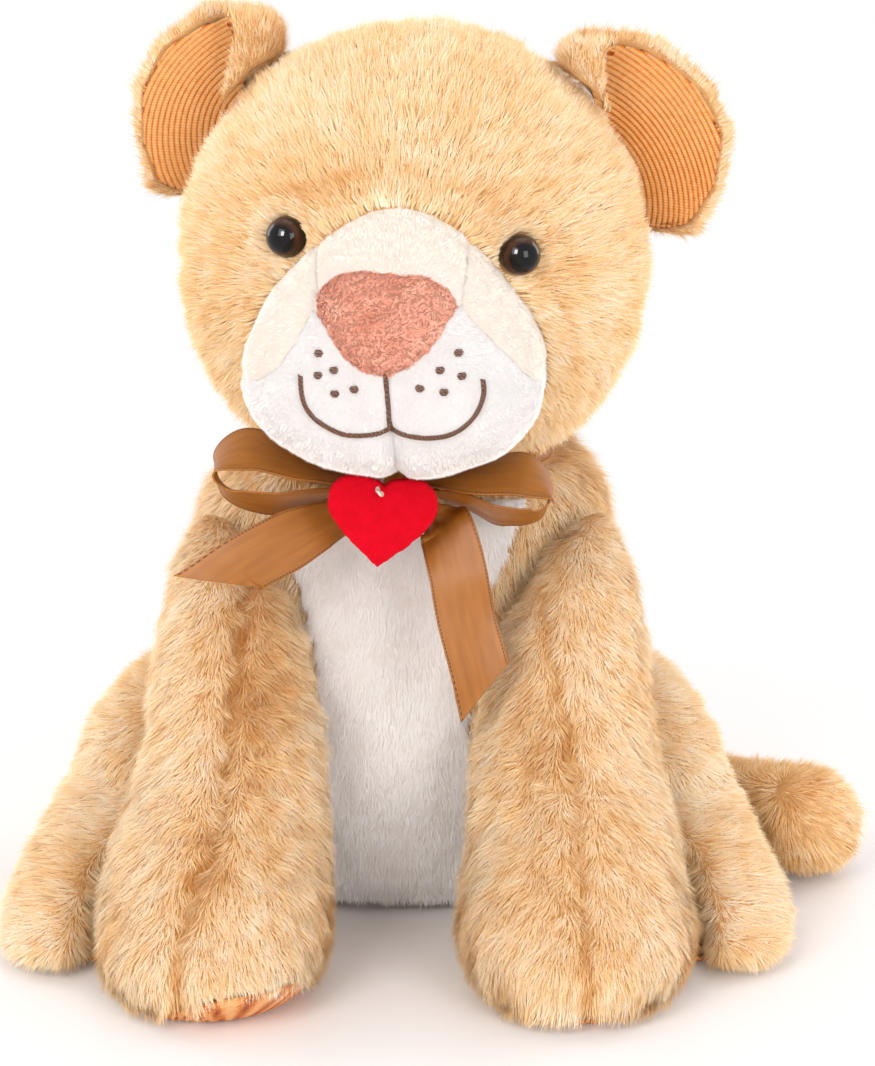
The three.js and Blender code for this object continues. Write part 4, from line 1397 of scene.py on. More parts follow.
# The panels' seams seen from the front, in the head's frame in millimetres.
LIP_EDGE = {Side.RIGHT: [(-70, -36), (-44, -30.5), (-36.8, -27.2), (-30.8, -22), (-26, -13.5), (-22, -4.9), (0, -9)],
            Side.LEFT: [(70, -44), (48, -31), (43.1, -25.8), (34.7, -15.6), (29.1, -9.9), (24, -5.1), (19.8, -0.2),
                        (0, -9)]}
BRIDGE_EDGE = {Side.RIGHT: [(-22, -4.9), (-21.3, 0), (-23.6, 6.5), (-26, 16), (-27, 60)],
               Side.LEFT: [(19.8, -0.2), (20.1, 4.9), (19.7, 9.9), (19, 18), (18, 60)]}
CHIN_SEAM = [(0, -9), (1.8, -26), (3.2, -35), (4.2, -42), (5, -70)]


@dataclass
class Muzzle:
    """The muzzle's five panels, with their seams sunk between them."""

    width: float = 83.0
    height: float = 78.0
    reach: float = 103.0
    drop: float = 18.5
    root: float = 30.0
    egg: float = 0.32
    seam_wide: float = 1.2
    seam_deep: float = 0.7
    notch_wide: float = 2.4
    notch_deep: float = 1.9
    bare: float = 0.9
    panels: list[Object] = field(default_factory=list)

    def form(self, rings: int, points: int) -> tuple[Array, Array]:
        """The egg that the panels are cut from, in the head's frame in millimetres.

        Args:
            rings: how many rings.
            points: how many points a ring has.

        Returns:
            Points, and faces of three corners.
        """
        place = (1 - np.cos(math.pi * np.arange(1, rings) / rings)) / 2
        out, wide, high, rise = smooth_rows(MUZZLE_ROWS, place).T
        turn = np.arange(points) * 2 * math.pi / points
        narrow = 1 - self.egg * np.sin(turn)
        x = wide[:, None] * self.width / 2 * np.cos(turn) * narrow
        y = np.broadcast_to((-self.root - out * (self.reach - self.root))[:, None], x.shape)
        z = (-self.drop + rise * self.height)[:, None] + high[:, None] * self.height / 2 * np.sin(turn)
        ends = [[0, -self.root, -self.drop], [0, -self.reach, -self.drop - 0.06 * self.height]]
        ring = np.stack([x, y, z], axis=-1).reshape(-1, 3)
        return np.concatenate([ring, ends]), ring_faces(len(place), points)

    def outlines(self) -> dict[str, Line]:
        """The panels' outlines seen from the front.

        Returns:
            A line of corners for each panel.
        """
        left, right = LIP_EDGE[Side.LEFT], LIP_EDGE[Side.RIGHT]
        up, along = BRIDGE_EDGE[Side.LEFT], BRIDGE_EDGE[Side.RIGHT]
        return {"bridge": up[::-1] + [left[-1]] + along, "cheek_left": left[:-1] + up[1:] + [(70, 60)],
                "cheek_right": right[:-1] + along[1:] + [(-70, 60)],
                "lip_left": left + CHIN_SEAM[1:] + [(70, -70)], "lip_right": right + CHIN_SEAM[1:] + [(-70, -70)]}

    def build(self, cream: Material, white: Material) -> None:
        """Cuts the panels out of the egg and dresses them.

        Args:
            cream: the upper panels' material.
            white: the lips' material.
        """
        points, faces = self.form(72, 150)
        for name, outline in self.outlines().items():
            panel = polygons(f"muzzle_{name}_cloth", on_head(points), faces)
            corner = np.array(outline)
            count = len(corner)
            near = np.column_stack([corner[:, 0], np.full(count, -125.0), corner[:, 1]])
            far = np.column_stack([corner[:, 0], np.full(count, -40.0), corner[:, 1]])
            mesh = bpy.data.meshes.new("cutter")
            rim = [(i, (i + 1) % count, count + (i + 1) % count, count + i) for i in range(count)]
            mesh.from_pydata(on_head(np.vstack([near, far])).tolist(), [], [list(range(count))[::-1],
                             list(range(count, 2 * count))] + rim)
            tool = bmesh.new()
            tool.from_mesh(mesh)
            bmesh.ops.recalc_face_normals(tool, faces=tool.faces)
            tool.to_mesh(mesh)
            tool.free()
            cutter = new_object("cutter", mesh)
            select_only(panel)
            modified(panel, "BOOLEAN", operation="INTERSECT", solver="EXACT", object=cutter)
            bpy.data.objects.remove(cutter)
            self._sink(panel)
            lip = name.startswith("lip")
            dress(panel, white if lip else cream, "head", "muzzle_white" if lip else "muzzle_cream", f"muzzle_{name}")
            self.panels.append(panel)

    def lit(self, skin: Surface) -> Array:
        """Which points of a panel face outwards and carry pile, clear of the embroidery.

        Args:
            skin: the panel's surface.

        Returns:
            1 where a point does, and 0 elsewhere.
        """
        local = from_head(skin.points) / MM
        out = from_head(skin.normals, turn_only=True)
        from_middle = unit(local - np.array([0.0, -55.0, -self.drop]))
        shown = ((out * from_middle).sum(axis=1) > 0.45) & (local[:, 1] < -40)
        for line in MOUTH_LINES.values():
            shown &= line_distance(local[:, [0, 2]], line) > self.bare
        for spot in FRECKLES:
            shown &= np.linalg.norm(local[:, [0, 2]] - np.array(spot), axis=1) > self.bare + 0.3
        return shown.astype(float)

    def _sink(self, panel: Object) -> None:
        """Pulls the cloth in at the seams, with small puckers along them.

        Args:
            panel: the panel.
        """
        skin = Surface.of(panel)
        local = from_head(skin.points) / MM
        inward = unit(np.array([0.0, -55.0, -self.drop]) - local)
        flat = local[:, [0, 2]]
        away = np.full(len(local), 1e9)
        for line in [*LIP_EDGE.values(), *BRIDGE_EDGE.values(), CHIN_SEAM]:
            away = np.minimum(away, line_distance(flat, line))
        pucker = 0.2 * waves(skin.points, 0.004, 23) * np.exp(-(away / 4) ** 2)
        sink = self.seam_deep * np.exp(-(away / self.seam_wide) ** 2) + pucker + 0.25 * waves(skin.points, 0.02, 29)
        notch = line_distance(flat, [(2.6, -36), *CHIN_SEAM[3:]])
        sink = sink + self.notch_deep * np.exp(-(notch / self.notch_wide) ** 2)
        move_points(panel, on_head(local + inward * np.where(local[:, 1] < -41, sink, 0)[:, None]))


# Embroidered lines on the muzzle, as places seen from the front in the head's frame, in millimetres.
MOUTH_LINES = {
    "middle": [(0.2, -17.0), (1.0, -22.0), (1.9, -28.0), (2.6, -34.6)],
    "smile_right": [(-23.4, -22.0), (-22.9, -26.0), (-21.7, -30.0), (-19.6, -32.8), (-16.6, -35.0), (-10.8, -37.4),
                    (-6.4, -37.5), (-0.4, -36.2), (2.4, -34.9)],
    "smile_left": [(2.9, -34.9), (9.2, -36.4), (13.9, -36.6), (19.4, -35.4), (23.4, -32.7), (26.6, -28.4),
                   (27.9, -23.2), (27.3, -19.4)],
}
FRECKLES = [(-18.7, -15.2), (-14.0, -19.1), (-18.4, -21.1), (-13.3, -25.5), (-7.9, -23.6),
            (20.2, -12.2), (15.5, -16.9), (21.6, -18.4), (10.3, -22.0), (17.0, -22.9)]


@dataclass
class Stitching:
    """The mouth and the freckles: satin stitches of dark thread laid across each line."""

    line_width: float = 1.45
    freckle: tuple[float, float] = (2.7, 2.1)
    thread: float = 0.36
    spacing: float = 0.4

    def build(self, cloth: BVHTree, material: Material) -> Object:
        """Lays every stitch on the muzzle.

        Args:
            cloth: the muzzle's panels, for finding their surface.
            material: the thread's material.

        Returns:
            The stitches as one piece.
        """
        rng = np.random.default_rng(41)
        parts = []
        for line in MOUTH_LINES.values():
            corners = np.array([[x, 0.0, z] for x, z in line])
            fine = route_points(corners, np.linspace(0, 1, 200))
            run = lengths_along(fine)
            stops = np.arange(0, run[-1], self.spacing)
            middle = np.stack([np.interp(stops, run, fine[:, k]) for k in (0, 2)], axis=-1)
            along = unit(np.gradient(middle, axis=0))
            for place, way in zip(middle, along):
                slant = way * 0.55 + np.array([-way[1], way[0]])
                half = self.line_width / 2 * rng.uniform(0.88, 1.08)
                parts.append(self._stitch(place, slant / np.linalg.norm(slant), half, cloth))
        for x, z in FRECKLES:
            long, high = self.freckle
            tilt = rng.uniform(-0.4, 0.4)
            way = np.array([math.cos(tilt), math.sin(tilt)])
            for step in np.arange(-high / 2 + 0.2, high / 2, self.spacing):
                half = long / 2 * math.sqrt(max(1 - (2 * step / high) ** 2, 0.1))
                parts.append(self._stitch(np.array([x, z]) + np.array([-way[1], way[0]]) * step, way, half, cloth))
        made = polygons("mouth_stitching", *joined([part for part in parts if part is not None]))
        dress(made, material, "head", "muzzle_white")
        return made

    def _stitch(self, place: Array, way: Array, half: float,
                cloth: BVHTree) -> tuple[Array, Array] | None:
        """One thread that crosses the line and dips into the cloth at both ends.

        Args:
            place: its middle, seen from the front.
            way: its direction.
            half: half its length.
            cloth: the muzzle's surface.

        Returns:
            Its tube, or nothing off the cloth.
        """
        ahead = Vector(placed(np.array([[0.0, 1.0, 0.0]]), HEAD_PLACE, turn_only=True)[0])
        path = []
        for share in np.linspace(-1, 1, 5):
            x, z = place + way * half * share
            start = Vector(on_head([(x, -140.0, z)])[0])
            hit = cloth.ray_cast(start, ahead, 0.12)
            if hit[0] is None:
                return None
            path.append(np.array(hit[0]) + np.array(hit[1]) * (0.8 - 1.0 * share ** 4) * MM)
        return tube(np.array(path), self.thread / 2 * MM, 5)


@dataclass
class Nose:
    """The padded nose, under short curled pile."""

    width: float = 40.0
    height: float = 33.0
    swell: float = 13.6
    place: tuple[float, float, float] = (-1.0, -88.7, -7.9)
    lean: float = 38.0
    corner: float = 0.085
    sides: int = 96
    obj: Object | None = None

    def build(self, cloth: Material) -> None:
        """Makes the pad.

        Args:
            cloth: the pad's material.
        """
        turn = np.arange(self.sides) * 2 * math.pi / self.sides
        x = np.cos(turn) + self.corner * np.sin(2 * turn)
        z = np.sin(turn) + self.corner * np.cos(2 * turn)
        angle = np.linspace(0, math.pi / 2, 30)[:-1]
        scale = np.concatenate([[1.0, 1.0], np.cos(angle[1:]) ** 0.62])
        high = np.concatenate([[-self.swell * 0.6, 0.0], self.swell * np.sin(angle[1:])])
        ring = np.stack([scale[:, None] * x * self.width / 2, scale[:, None] * z * self.height / 2,
                         np.broadcast_to(high[:, None], (len(high), self.sides))], axis=-1).reshape(-1, 3)
        points = np.vstack([ring, [[0, 0, -self.swell * 0.6], [0, 0, self.swell]]])
        lean = Matrix.Rotation(math.radians(90 - self.lean), 4, "X")
        place = HEAD_PLACE @ Matrix.Translation(Vector(self.place) * MM) @ lean
        points = placed(points * MM, place)
        self.obj = polygons("nose_pad", points, ring_faces(len(high), self.sides))
        bump = 0.12 * waves(points, 0.006, 3) + 0.06 * waves(points, 0.0022, 4)
        move_points(self.obj, points + Surface.of(self.obj).normals * (bump * MM)[:, None])
        dress(self.obj, cloth, "head", "nose", "nose")


@dataclass
class Eye:
    """A domed eye on its ridged stem, and the washer that holds it."""

    side: Side
    diameter: float = 12.0
    dome: float = 7.4
    rim: float = 1.5
    x: float = 33.5
    z: float = 8.0
    sunk: float = 2.2
    splay: float = 17.0
    washer: float = 14.0
    obj: Object | None = None

    def place(self) -> Matrix:
        """Where the eye sits on the face, with its dome along Z.

        Returns:
            The place as a matrix.
        """
        wide, deep, high = HEAD_HALF
        level = 1 - (self.x / wide) ** 2 - (self.z / high) ** 2
        spot = Vector((self.side.value * self.x, self.sunk - deep * math.sqrt(level), self.z)) * MM
        splay = Matrix.Rotation(math.radians(self.side.value * self.splay), 4, "Z")
        return HEAD_PLACE @ Matrix.Translation(spot) @ (splay @ Matrix.Rotation(math.pi / 2, 4, "X"))

    def build(self, gloss: Material, plastic: Material) -> None:
        """Turns the eye and the washer.

        Args:
            gloss: the eye's material.
            plastic: the washer's material.
        """
        r = self.diameter / 2
        angle = np.linspace(0, math.pi / 2, 20)
        dome = [(r * math.cos(a), self.rim + (self.dome - self.rim) * math.sin(a)) for a in angle[:-1]]
        ridges = [(2.0 - 0.4 * (k % 2), -1.0 - k) for k in range(9)]
        profile = [(0.0, -10.0), (1.2, -10.0)] + ridges[::-1] + [(2.4, -0.3), (r - 0.5, 0.0), (r - 0.1, 0.3)] + dome
        profile.append((0.0, self.dome))
        self.obj = self._turned(f"eye_{self.side.word}_dome", profile, 56)
        radius = np.array([math.hypot(*v.co[:2]) for v in self.obj.data.vertices]) / (r * MM)
        attribute(self.obj, "out", np.clip(radius, 0, 1))
        self._finish(self.obj, gloss, "eye", f"eye_{self.side.word}")
        inner, outer = 2.3, self.washer / 2
        ring = [(inner, -6.5), (outer - 0.3, -6.5), (outer, -6.2), (outer, -4.8), (outer - 0.3, -4.5),
                (inner + 1.4, -4.5), (inner, -4.9), (inner, -6.5)]
        washer = self._turned(f"eye_washer_{self.side.word}_ring", ring, 48)
        self._finish(washer, plastic, "washer", f"eye_washer_{self.side.word}")

    def _turned(self, name: str, profile: Line, sides: int) -> Object:
        """A profile of radii and heights spun round Z with the spin operator.

        Args:
            name: the piece's name.
            profile: its corners in millimetres.
            sides: how many steps.

        Returns:
            The closed piece.
        """
        mesh = bpy.data.meshes.new(name)
        mesh.from_pydata([(x * MM, 0, z * MM) for x, z in profile], [(i, i + 1) for i in range(len(profile) - 1)], [])
        made = new_object(name, mesh)

        def spin() -> None:
            """Spins the profile and merges its seam and its ends."""
            bpy.ops.mesh.spin(steps=sides, angle=2 * math.pi, center=(0, 0, 0), axis=(0, 0, 1))
            bpy.ops.mesh.select_all(action="SELECT")
            bpy.ops.mesh.remove_doubles(threshold=0.00002)

        edited(made, spin)
        return made

    def _finish(self, made: Object, material: Material, slot: str, node: str) -> None:
        """Moves a turned piece to its place and dresses it.

        Args:
            made: the piece.
            material: its material.
            slot: the record's slot.
            node: the node that it replaces.
        """
        made.data.transform(self.place())
        select_only(made)
        bpy.ops.object.shade_smooth_by_angle(angle=math.radians(40))
        dress(made, material, "head", slot, node)


# ------ ears

EAR_ROWS = [[0, 0.7, 0.12], [0.07, 0.86, 0.12], [0.25, 0.96, 0.1], [0.45, 1, 0.07], [0.65, 0.95, 0.04],
            [0.8, 0.83, 0], [0.92, 0.64, 0], [1, 0.42, 0.06]]


@dataclass
class EarLining:
    """The ribbed cloth inside an ear, which turns forward with the ear's inner edge."""

    side: Side
    thickness: float = 8.0
    curl: float = 8.0
    flap: float = 4.8
    rim: float = 3.0
    height: float = 60.0
    back: float = 14.0
    low: float = 4.0
    hollow: float = 0.17
    depth: float = 2.7
    pitch: float = 1.68
    rib: float = 0.7
    wall: float = 1.2
    rows: int = 132
    columns: int = 190
    obj: Object | None = None

    def build(self, material: Material) -> None:
        """Makes the ribbed sheet.

        Args:
            material: the corduroy.
        """
        x0, reach = (41.0, 52.0) if self.side is Side.LEFT else (46.0, 43.0)
        middle = (37.3, 9.4) if self.side is Side.LEFT else (42.7, 23.8)
        rows, columns = self.rows, self.columns
        place = np.linspace(0.0, 1.0, rows)
        up, rim, fold = smooth_rows(EAR_ROWS, place, closed_ends=False).T
        z = self.low + self.rim + up * (self.height - 2 * self.rim)
        grid = np.zeros((rows, columns, 3))
        flat = np.zeros((rows, columns))
        for i in range(rows):
            line, run = self._line(x0 + rim[i] * reach - self.rim + 1.2, x0 + fold[i] * reach)
            grid[i] = np.column_stack([self.side.value * line[:, 0], line[:, 1], np.full(columns, z[i])])
            flat[i] = x0 + fold[i] * reach + self.curl + run - self.flap - math.pi * (self.curl - self.depth)
        far = np.hypot(flat - middle[0], z[:, None] - middle[1])
        angle = np.arctan2(z[:, None] - middle[1], flat - middle[0])
        phase = (far / self.pitch + 0.35 * np.sin(angle * 3 + far / 9)) % 1.0
        crown = np.sqrt(np.clip(1 - (2 * phase - 1) ** 2, 0, 1))
        normal = unit(np.cross(np.gradient(grid, axis=1), np.gradient(grid, axis=0))) * self.side.value
        sag = 0.8 * waves(grid.reshape(-1, 3) * MM, 0.03, 51).reshape(rows, columns)
        grid = grid + normal * (crown * self.rib + sag)[..., None]
        points = on_head(grid.reshape(-1, 3))
        frame_lining = Surface.of(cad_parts[f"ear_lining_{self.side.word}"]).tree()
        within = np.array([frame_lining.find_nearest(Vector(point), 0.0032)[0] is not None for point in points])
        by_head = ((grid / HEAD_HALF) ** 2).sum(axis=-1) < 1.3
        within &= ~(by_head & (flat < (x0 + fold * reach + self.curl)[:, None])).ravel()
        faces = grid_faces(rows, columns)
        self.obj = polygons(f"ear_{self.side.word}_corduroy", points, faces[within[faces].all(axis=1)])
        attribute(self.obj, "rib", crown.ravel())
        attribute(self.obj, "along", (angle * far * MM).ravel())
        edited(self.obj, lambda: bpy.ops.mesh.delete_loose(use_verts=True, use_edges=True, use_faces=False))
        modified(self.obj, "SOLIDIFY", thickness=self.wall * MM, offset=0.0)
        dress(self.obj, material, f"ear_{self.side.word}", "corduroy", f"ear_lining_{self.side.word}")

    def _line(self, rim: float, fold: float) -> tuple[Array, Array]:
        """The lining's line at one height, from the flap's end to the rim, moved to the hollow side.

        Args:
            rim: where the rim lies.
            fold: where the fold lies.

        Returns:
            The line's points, and how far along each is.
        """
        r = self.curl - self.depth
        flat = rim - fold - self.curl
        flap = np.column_stack([np.linspace(fold + self.curl + self.flap, fold + self.curl, 12),
                                np.full(12, self.back - 2 * self.curl + self.depth)])
        angle = -math.pi / 2 - np.linspace(0, math.pi, 24)[1:]
        bow = np.column_stack([fold + self.curl + r * np.cos(angle), self.back - self.curl + r * np.sin(angle)])
        share = np.linspace(0, 1, 40)[1:]
        rest = np.column_stack([fold + self.curl + flat * share,
                                self.back - self.depth - self.hollow * flat * share ** 2])
        line = np.vstack([flap, bow, rest])
        run = lengths_along(line)
        stops = np.linspace(0, run[-1], self.columns)
        return np.column_stack([np.interp(stops, run, line[:, 0]), np.interp(stops, run, line[:, 1])]), stops


# ------ soles

@dataclass
class Sole:
    """A corduroy sole let into the floor side of a paw."""

    side: Side
    front: bool
    front_middle: tuple[float, float] = (53.23, -100.1)
    front_half: tuple[float, float] = (27.0, 32.7)
    hind_middle: tuple[float, float] = (93.4, -50.4)
    hind_half: tuple[float, float] = (18.4, 37.0)
    lip: float = 9.5
    pitch: float = 2.1
    sides: int = 120
    rings: int = 46
    obj: Object | None = None

    def climb(self, turn: Array) -> Array:
        """How far the sole's edge climbs the paw in each direction, from 0 to 1. One paw stands tipped up.

        Args:
            turn: the directions, in radians.

        Returns:
            One share for each.
        """
        if not (self.front and self.side is Side.RIGHT):
            return turn * 0
        return np.clip(np.cos(turn - math.radians(-62)) * 2.6 - 1.5, 0, 1)

    def hem(self, points: Array) -> Array:
        """How high the edge of the paw's cloth stands above the floor at some points, in metres.

        Args:
            points: the points, in metres.

        Returns:
            One height for each.
        """
        x = (points[:, 0] / MM - self.side.value * self.front_middle[0]) / self.front_half[0]
        y = (points[:, 1] / MM - self.front_middle[1]) / self.front_half[1]
        return self.climb(np.arctan2(y, x)) * self.lip * MM

    def build(self, material: Material) -> None:
        """Makes the sole from rings of points, with ribs across it.

        Args:
            material: the corduroy.
        """
        word = "front" if self.front else "hind"
        middle, half = (self.front_middle, self.front_half) if self.front else (self.hind_middle, self.hind_half)
        turn = np.arange(self.sides) * 2 * math.pi / self.sides
        shares = np.linspace(0.02, 1.0, self.rings)
        x = self.side.value * middle[0] + shares[:, None] * half[0] * np.cos(turn)
        y = middle[1] + shares[:, None] * half[1] * np.sin(turn)
        rise = np.clip((shares - 0.9) / 0.1, 0, 1)[:, None] ** 2 * 1.6 * np.ones_like(x)
        climb = np.clip((shares - 0.84) / 0.16, 0, 1)[:, None]
        front = self.climb(turn)
        rise = rise + front * climb ** 1.7 * self.lip
        reach = front * climb * 7.2
        x, y = x + reach * np.cos(turn), y + reach * np.sin(turn)
        phase = ((x + 0.25 * y) / self.pitch) % 1.0
        crown = np.sqrt(np.clip(1 - (2 * phase - 1) ** 2, 0, 1))
        z = 0.9 - 0.45 * crown + rise
        grid = np.stack([x, y, z], axis=-1) * MM
        grid = np.concatenate([grid, grid[:, :1]], axis=1)
        self.obj = thin_sheet(f"{word}_sole_{self.side.word}_corduroy", grid, 0.0009)
        attribute(self.obj, "along", np.tile(grid[:, :, 1].ravel(), 2))
        attribute(self.obj, "rib", np.tile(np.concatenate([crown, crown[:, :1]], axis=1).ravel(), 2))
        edited(self.obj, lambda: bpy.ops.mesh.remove_doubles(threshold=0.000005))
        dress(self.obj, material, f"{word}_leg_{self.side.word}", "corduroy", f"{word}_sole_{self.side.word}")


# ------ the ribbon

KNOT = np.array([0.0, -53.05, 139.0])
LOOP_LEFT = [[0.19, 0.05, 0.16, (0, -0.4, -0.04)], [0.32, 0.4, 0.34, (0, -0.7, -0.16)],
             [0.52, 0.8, 0.45, (0, -0.9, -0.3)], [0.76, 1, 0.52, (0, -0.9, -0.4)], [0.92, 1, 0.14, (0, -0.95, 0)],
             [0.84, 1.05, -0.34, (0, -0.84, 0.42)], [0.62, 1, -0.4, (0, -0.78, 0.52)],
             [0.42, 0.6, -0.24, (0, -0.6, 0.4)], [0.19, 0.05, -0.14, (0, -0.4, 0)]]
LOOP_RIGHT = [[0.19, 0.05, 0.18, (0, -0.4, -0.06)], [0.36, 0.4, 0.48, (0, -0.7, -0.25)],
              [0.6, 0.7, 0.75, (0, -0.9, -0.38)], [0.86, 0.9, 1, (0, -0.92, -0.4)], [1.04, 1, 0.68, (0, -0.95, -0.05)],
              [0.96, 1, 0.14, (0, -0.84, 0.42)], [0.72, 0.9, -0.12, (0, -0.78, 0.52)],
              [0.44, 0.5, -0.12, (0, -0.6, 0.4)], [0.19, 0.05, -0.14, (0, -0.4, 0)]]
TAIL_LEFT = [[0.175, 0.05, -0.09, (0, -0.4, -0.05)], [0.24, 0.4, -0.16, (0.35, -0.3, 0.25)],
             [0.3, 0.9, -0.17, (0.75, -0.3, 0.3)], [0.37, 1.46, -0.36, (0.85, 0.1, 0.1)],
             [0.42, 1.68, -0.6, (0.85, 0.1, 0.1)], [0.5, 1.95, -0.86, (0.85, 0.1, 0.15)],
             [0.53, 2.02, -0.98, (0.85, 0.1, 0.15)]]
TAIL_RIGHT = [[0.165, 0.02, -0.092, (0, -0.4, -0.1)], [0.25, 0.3, -0.15, (0.1, -0.2, 0.35)],
              [0.42, 0.7, -0.17, (0.35, 0, 0.6)], [0.66, 1.2, -0.24, (0.5, 0, 0.75)],
              [0.88, 1.5, -0.33, (0.5, 0, 0.75)], [1.02, 1.6, -0.41, (0.5, 0, 0.75)]]


@dataclass
class Strip:
    """A length of ribbon from the knot: a loop or a loose end."""

    name: str
    side: Side
    rows: list
    rise: float
    slant: float = 0.0
    width: float = 20.0
    reach: float = 50.0
    stand: float = 15.0
    gathers: float = 0.9
    cup: float = 0.6
    seed: int = 1

    def build(self, material: Material) -> Object:
        """Makes the ribbon as one closed sheet.

        Args:
            material: the satin.

        Returns:
            The piece.
        """
        sign = self.side.value
        corners = np.array([KNOT + (sign * out * self.reach, -forward * self.stand, up * self.rise)
                            for out, forward, up, _ in self.rows])
        lean = np.array([[sign * x, y, z] for *_, (x, y, z) in self.rows])
        rows, columns = 150, 33
        shares = np.linspace(0, 1, rows)
        route, wide = route_points(corners, shares), route_points(lean, shares)
        along = unit(np.gradient(route, axis=0))
        half = np.linalg.norm(wide, axis=1) * self.width / 2
        wide = unit(wide - along * (wide * along).sum(axis=1, keepdims=True))
        out = np.cross(along, wide)
        run = lengths_along(route)
        s = np.linspace(-1, 1, columns)
        far = np.minimum(run, run[-1] - run) if self.name.startswith("ribbon_loop") else run
        tight = np.exp(-far / 9.0)[:, None]
        fold = np.sin(s * math.pi * 2.5 + self.seed) * self.gathers * tight
        cup = (self.cup * (s ** 2 - 0.4) + 0.35 * np.sin(run[:, None] / 9 + s * 2 + self.seed)) * (1 - tight)
        slant = self.slant * self.width * np.clip((run - run[-1] + 9) / 9, 0, 1)
        grid = (route[:, None] + wide[:, None] * (s[None] * half[:, None])[..., None]
                + out[:, None] * (fold + cup)[..., None] + along[:, None] * (slant[:, None] * s)[..., None])
        made = thin_sheet(f"{self.name}_satin", grid * MM, RIBBON_THICKNESS)
        dress(made, material, "torso", "ribbon", self.name)
        return made


@dataclass
class Knot:
    """The bow's knot: the ribbon wound once round, with creases that gather in its middle."""

    width: float = 17.0
    depth: float = 12.6
    height: float = 12.0

    def build(self, material: Material) -> Object:
        """Makes the wound band.

        Args:
            material: the satin.

        Returns:
            The piece.
        """
        rows, columns = 120, 40
        turn = np.linspace(0, 2 * math.pi, rows)
        s = np.linspace(-1, 1, columns)
        pinch = 1 - 0.16 * (1 - s ** 2)
        fall = np.sqrt(np.clip(1 - (np.abs(s) * 0.93) ** 5, 0.05, 1))
        y = np.cos(turn)[:, None] * (self.depth / 2 - 0.4) * fall * pinch
        z = np.sin(turn)[:, None] * (self.height / 2 - 0.3) * fall * pinch
        crease = 0.35 * np.sin(s * 13 + 1.5 * np.sin(turn)[:, None]) * (1 - 0.4 * s ** 2)
        y, z = y * (1 + crease / 9), z * (1 + crease / 9)
        x = s[None] * self.width / 2 * (1 - 0.05 * np.cos(turn)[:, None] ** 2) + 0.8 * np.sin(turn)[:, None]
        grid = np.stack([x + KNOT[0], y + KNOT[1], z + KNOT[2]], axis=-1)
        made = thin_sheet("ribbon_knot_satin", grid * MM, RIBBON_THICKNESS)
        dress(made, material, "torso", "ribbon", "ribbon_knot")
        return made


@dataclass
class Collar:
    """The ribbon round the neck, gathered into soft lengthwise folds under the pile."""

    half_x: float = 46.0
    half_y: float = 41.0
    middle: tuple[float, float, float] = (3.0, -5.0, 141.0)
    height: float = 12.0
    lean: float = 2.5
    width: float = 20.0

    def build(self, material: Material) -> Object:
        """Makes the band.

        Args:
            material: the satin.

        Returns:
            The piece.
        """
        rows, columns = 260, 29
        turn = np.linspace(0, 2 * math.pi, rows)
        s = np.linspace(-1, 1, columns)
        pleat = 0.75 * np.sin(s * math.pi * 3 + 0.8 * np.sin(3 * turn)[:, None]) + 0.2 * np.sin(turn * 9)[:, None] * s
        out = self.lean / 2 * s + pleat
        x = self.middle[0] + (self.half_x + out) * np.cos(turn)[:, None]
        y = self.middle[1] + (self.half_y + out) * np.sin(turn)[:, None]
        z = self.middle[2] + s * self.height / 2 + 0.15 * np.sin(turn * 5)[:, None]
        made = thin_sheet("ribbon_collar_satin", np.stack([x, y, z], axis=-1) * MM, RIBBON_THICKNESS)
        dress(made, material, "torso", "ribbon", "ribbon_collar")
        return made


# ------ the tag

HEART_CURVES = [[(0.0, -1.0), (0.35, -0.6), (1, -0.1), (1, 0.4)], [(1, 0.4), (1, 0.8), (0.75, 1), (0.5, 1)],
                [(0.5, 1), (0.25, 1), (0, 0.9), (0, 0.74)]]


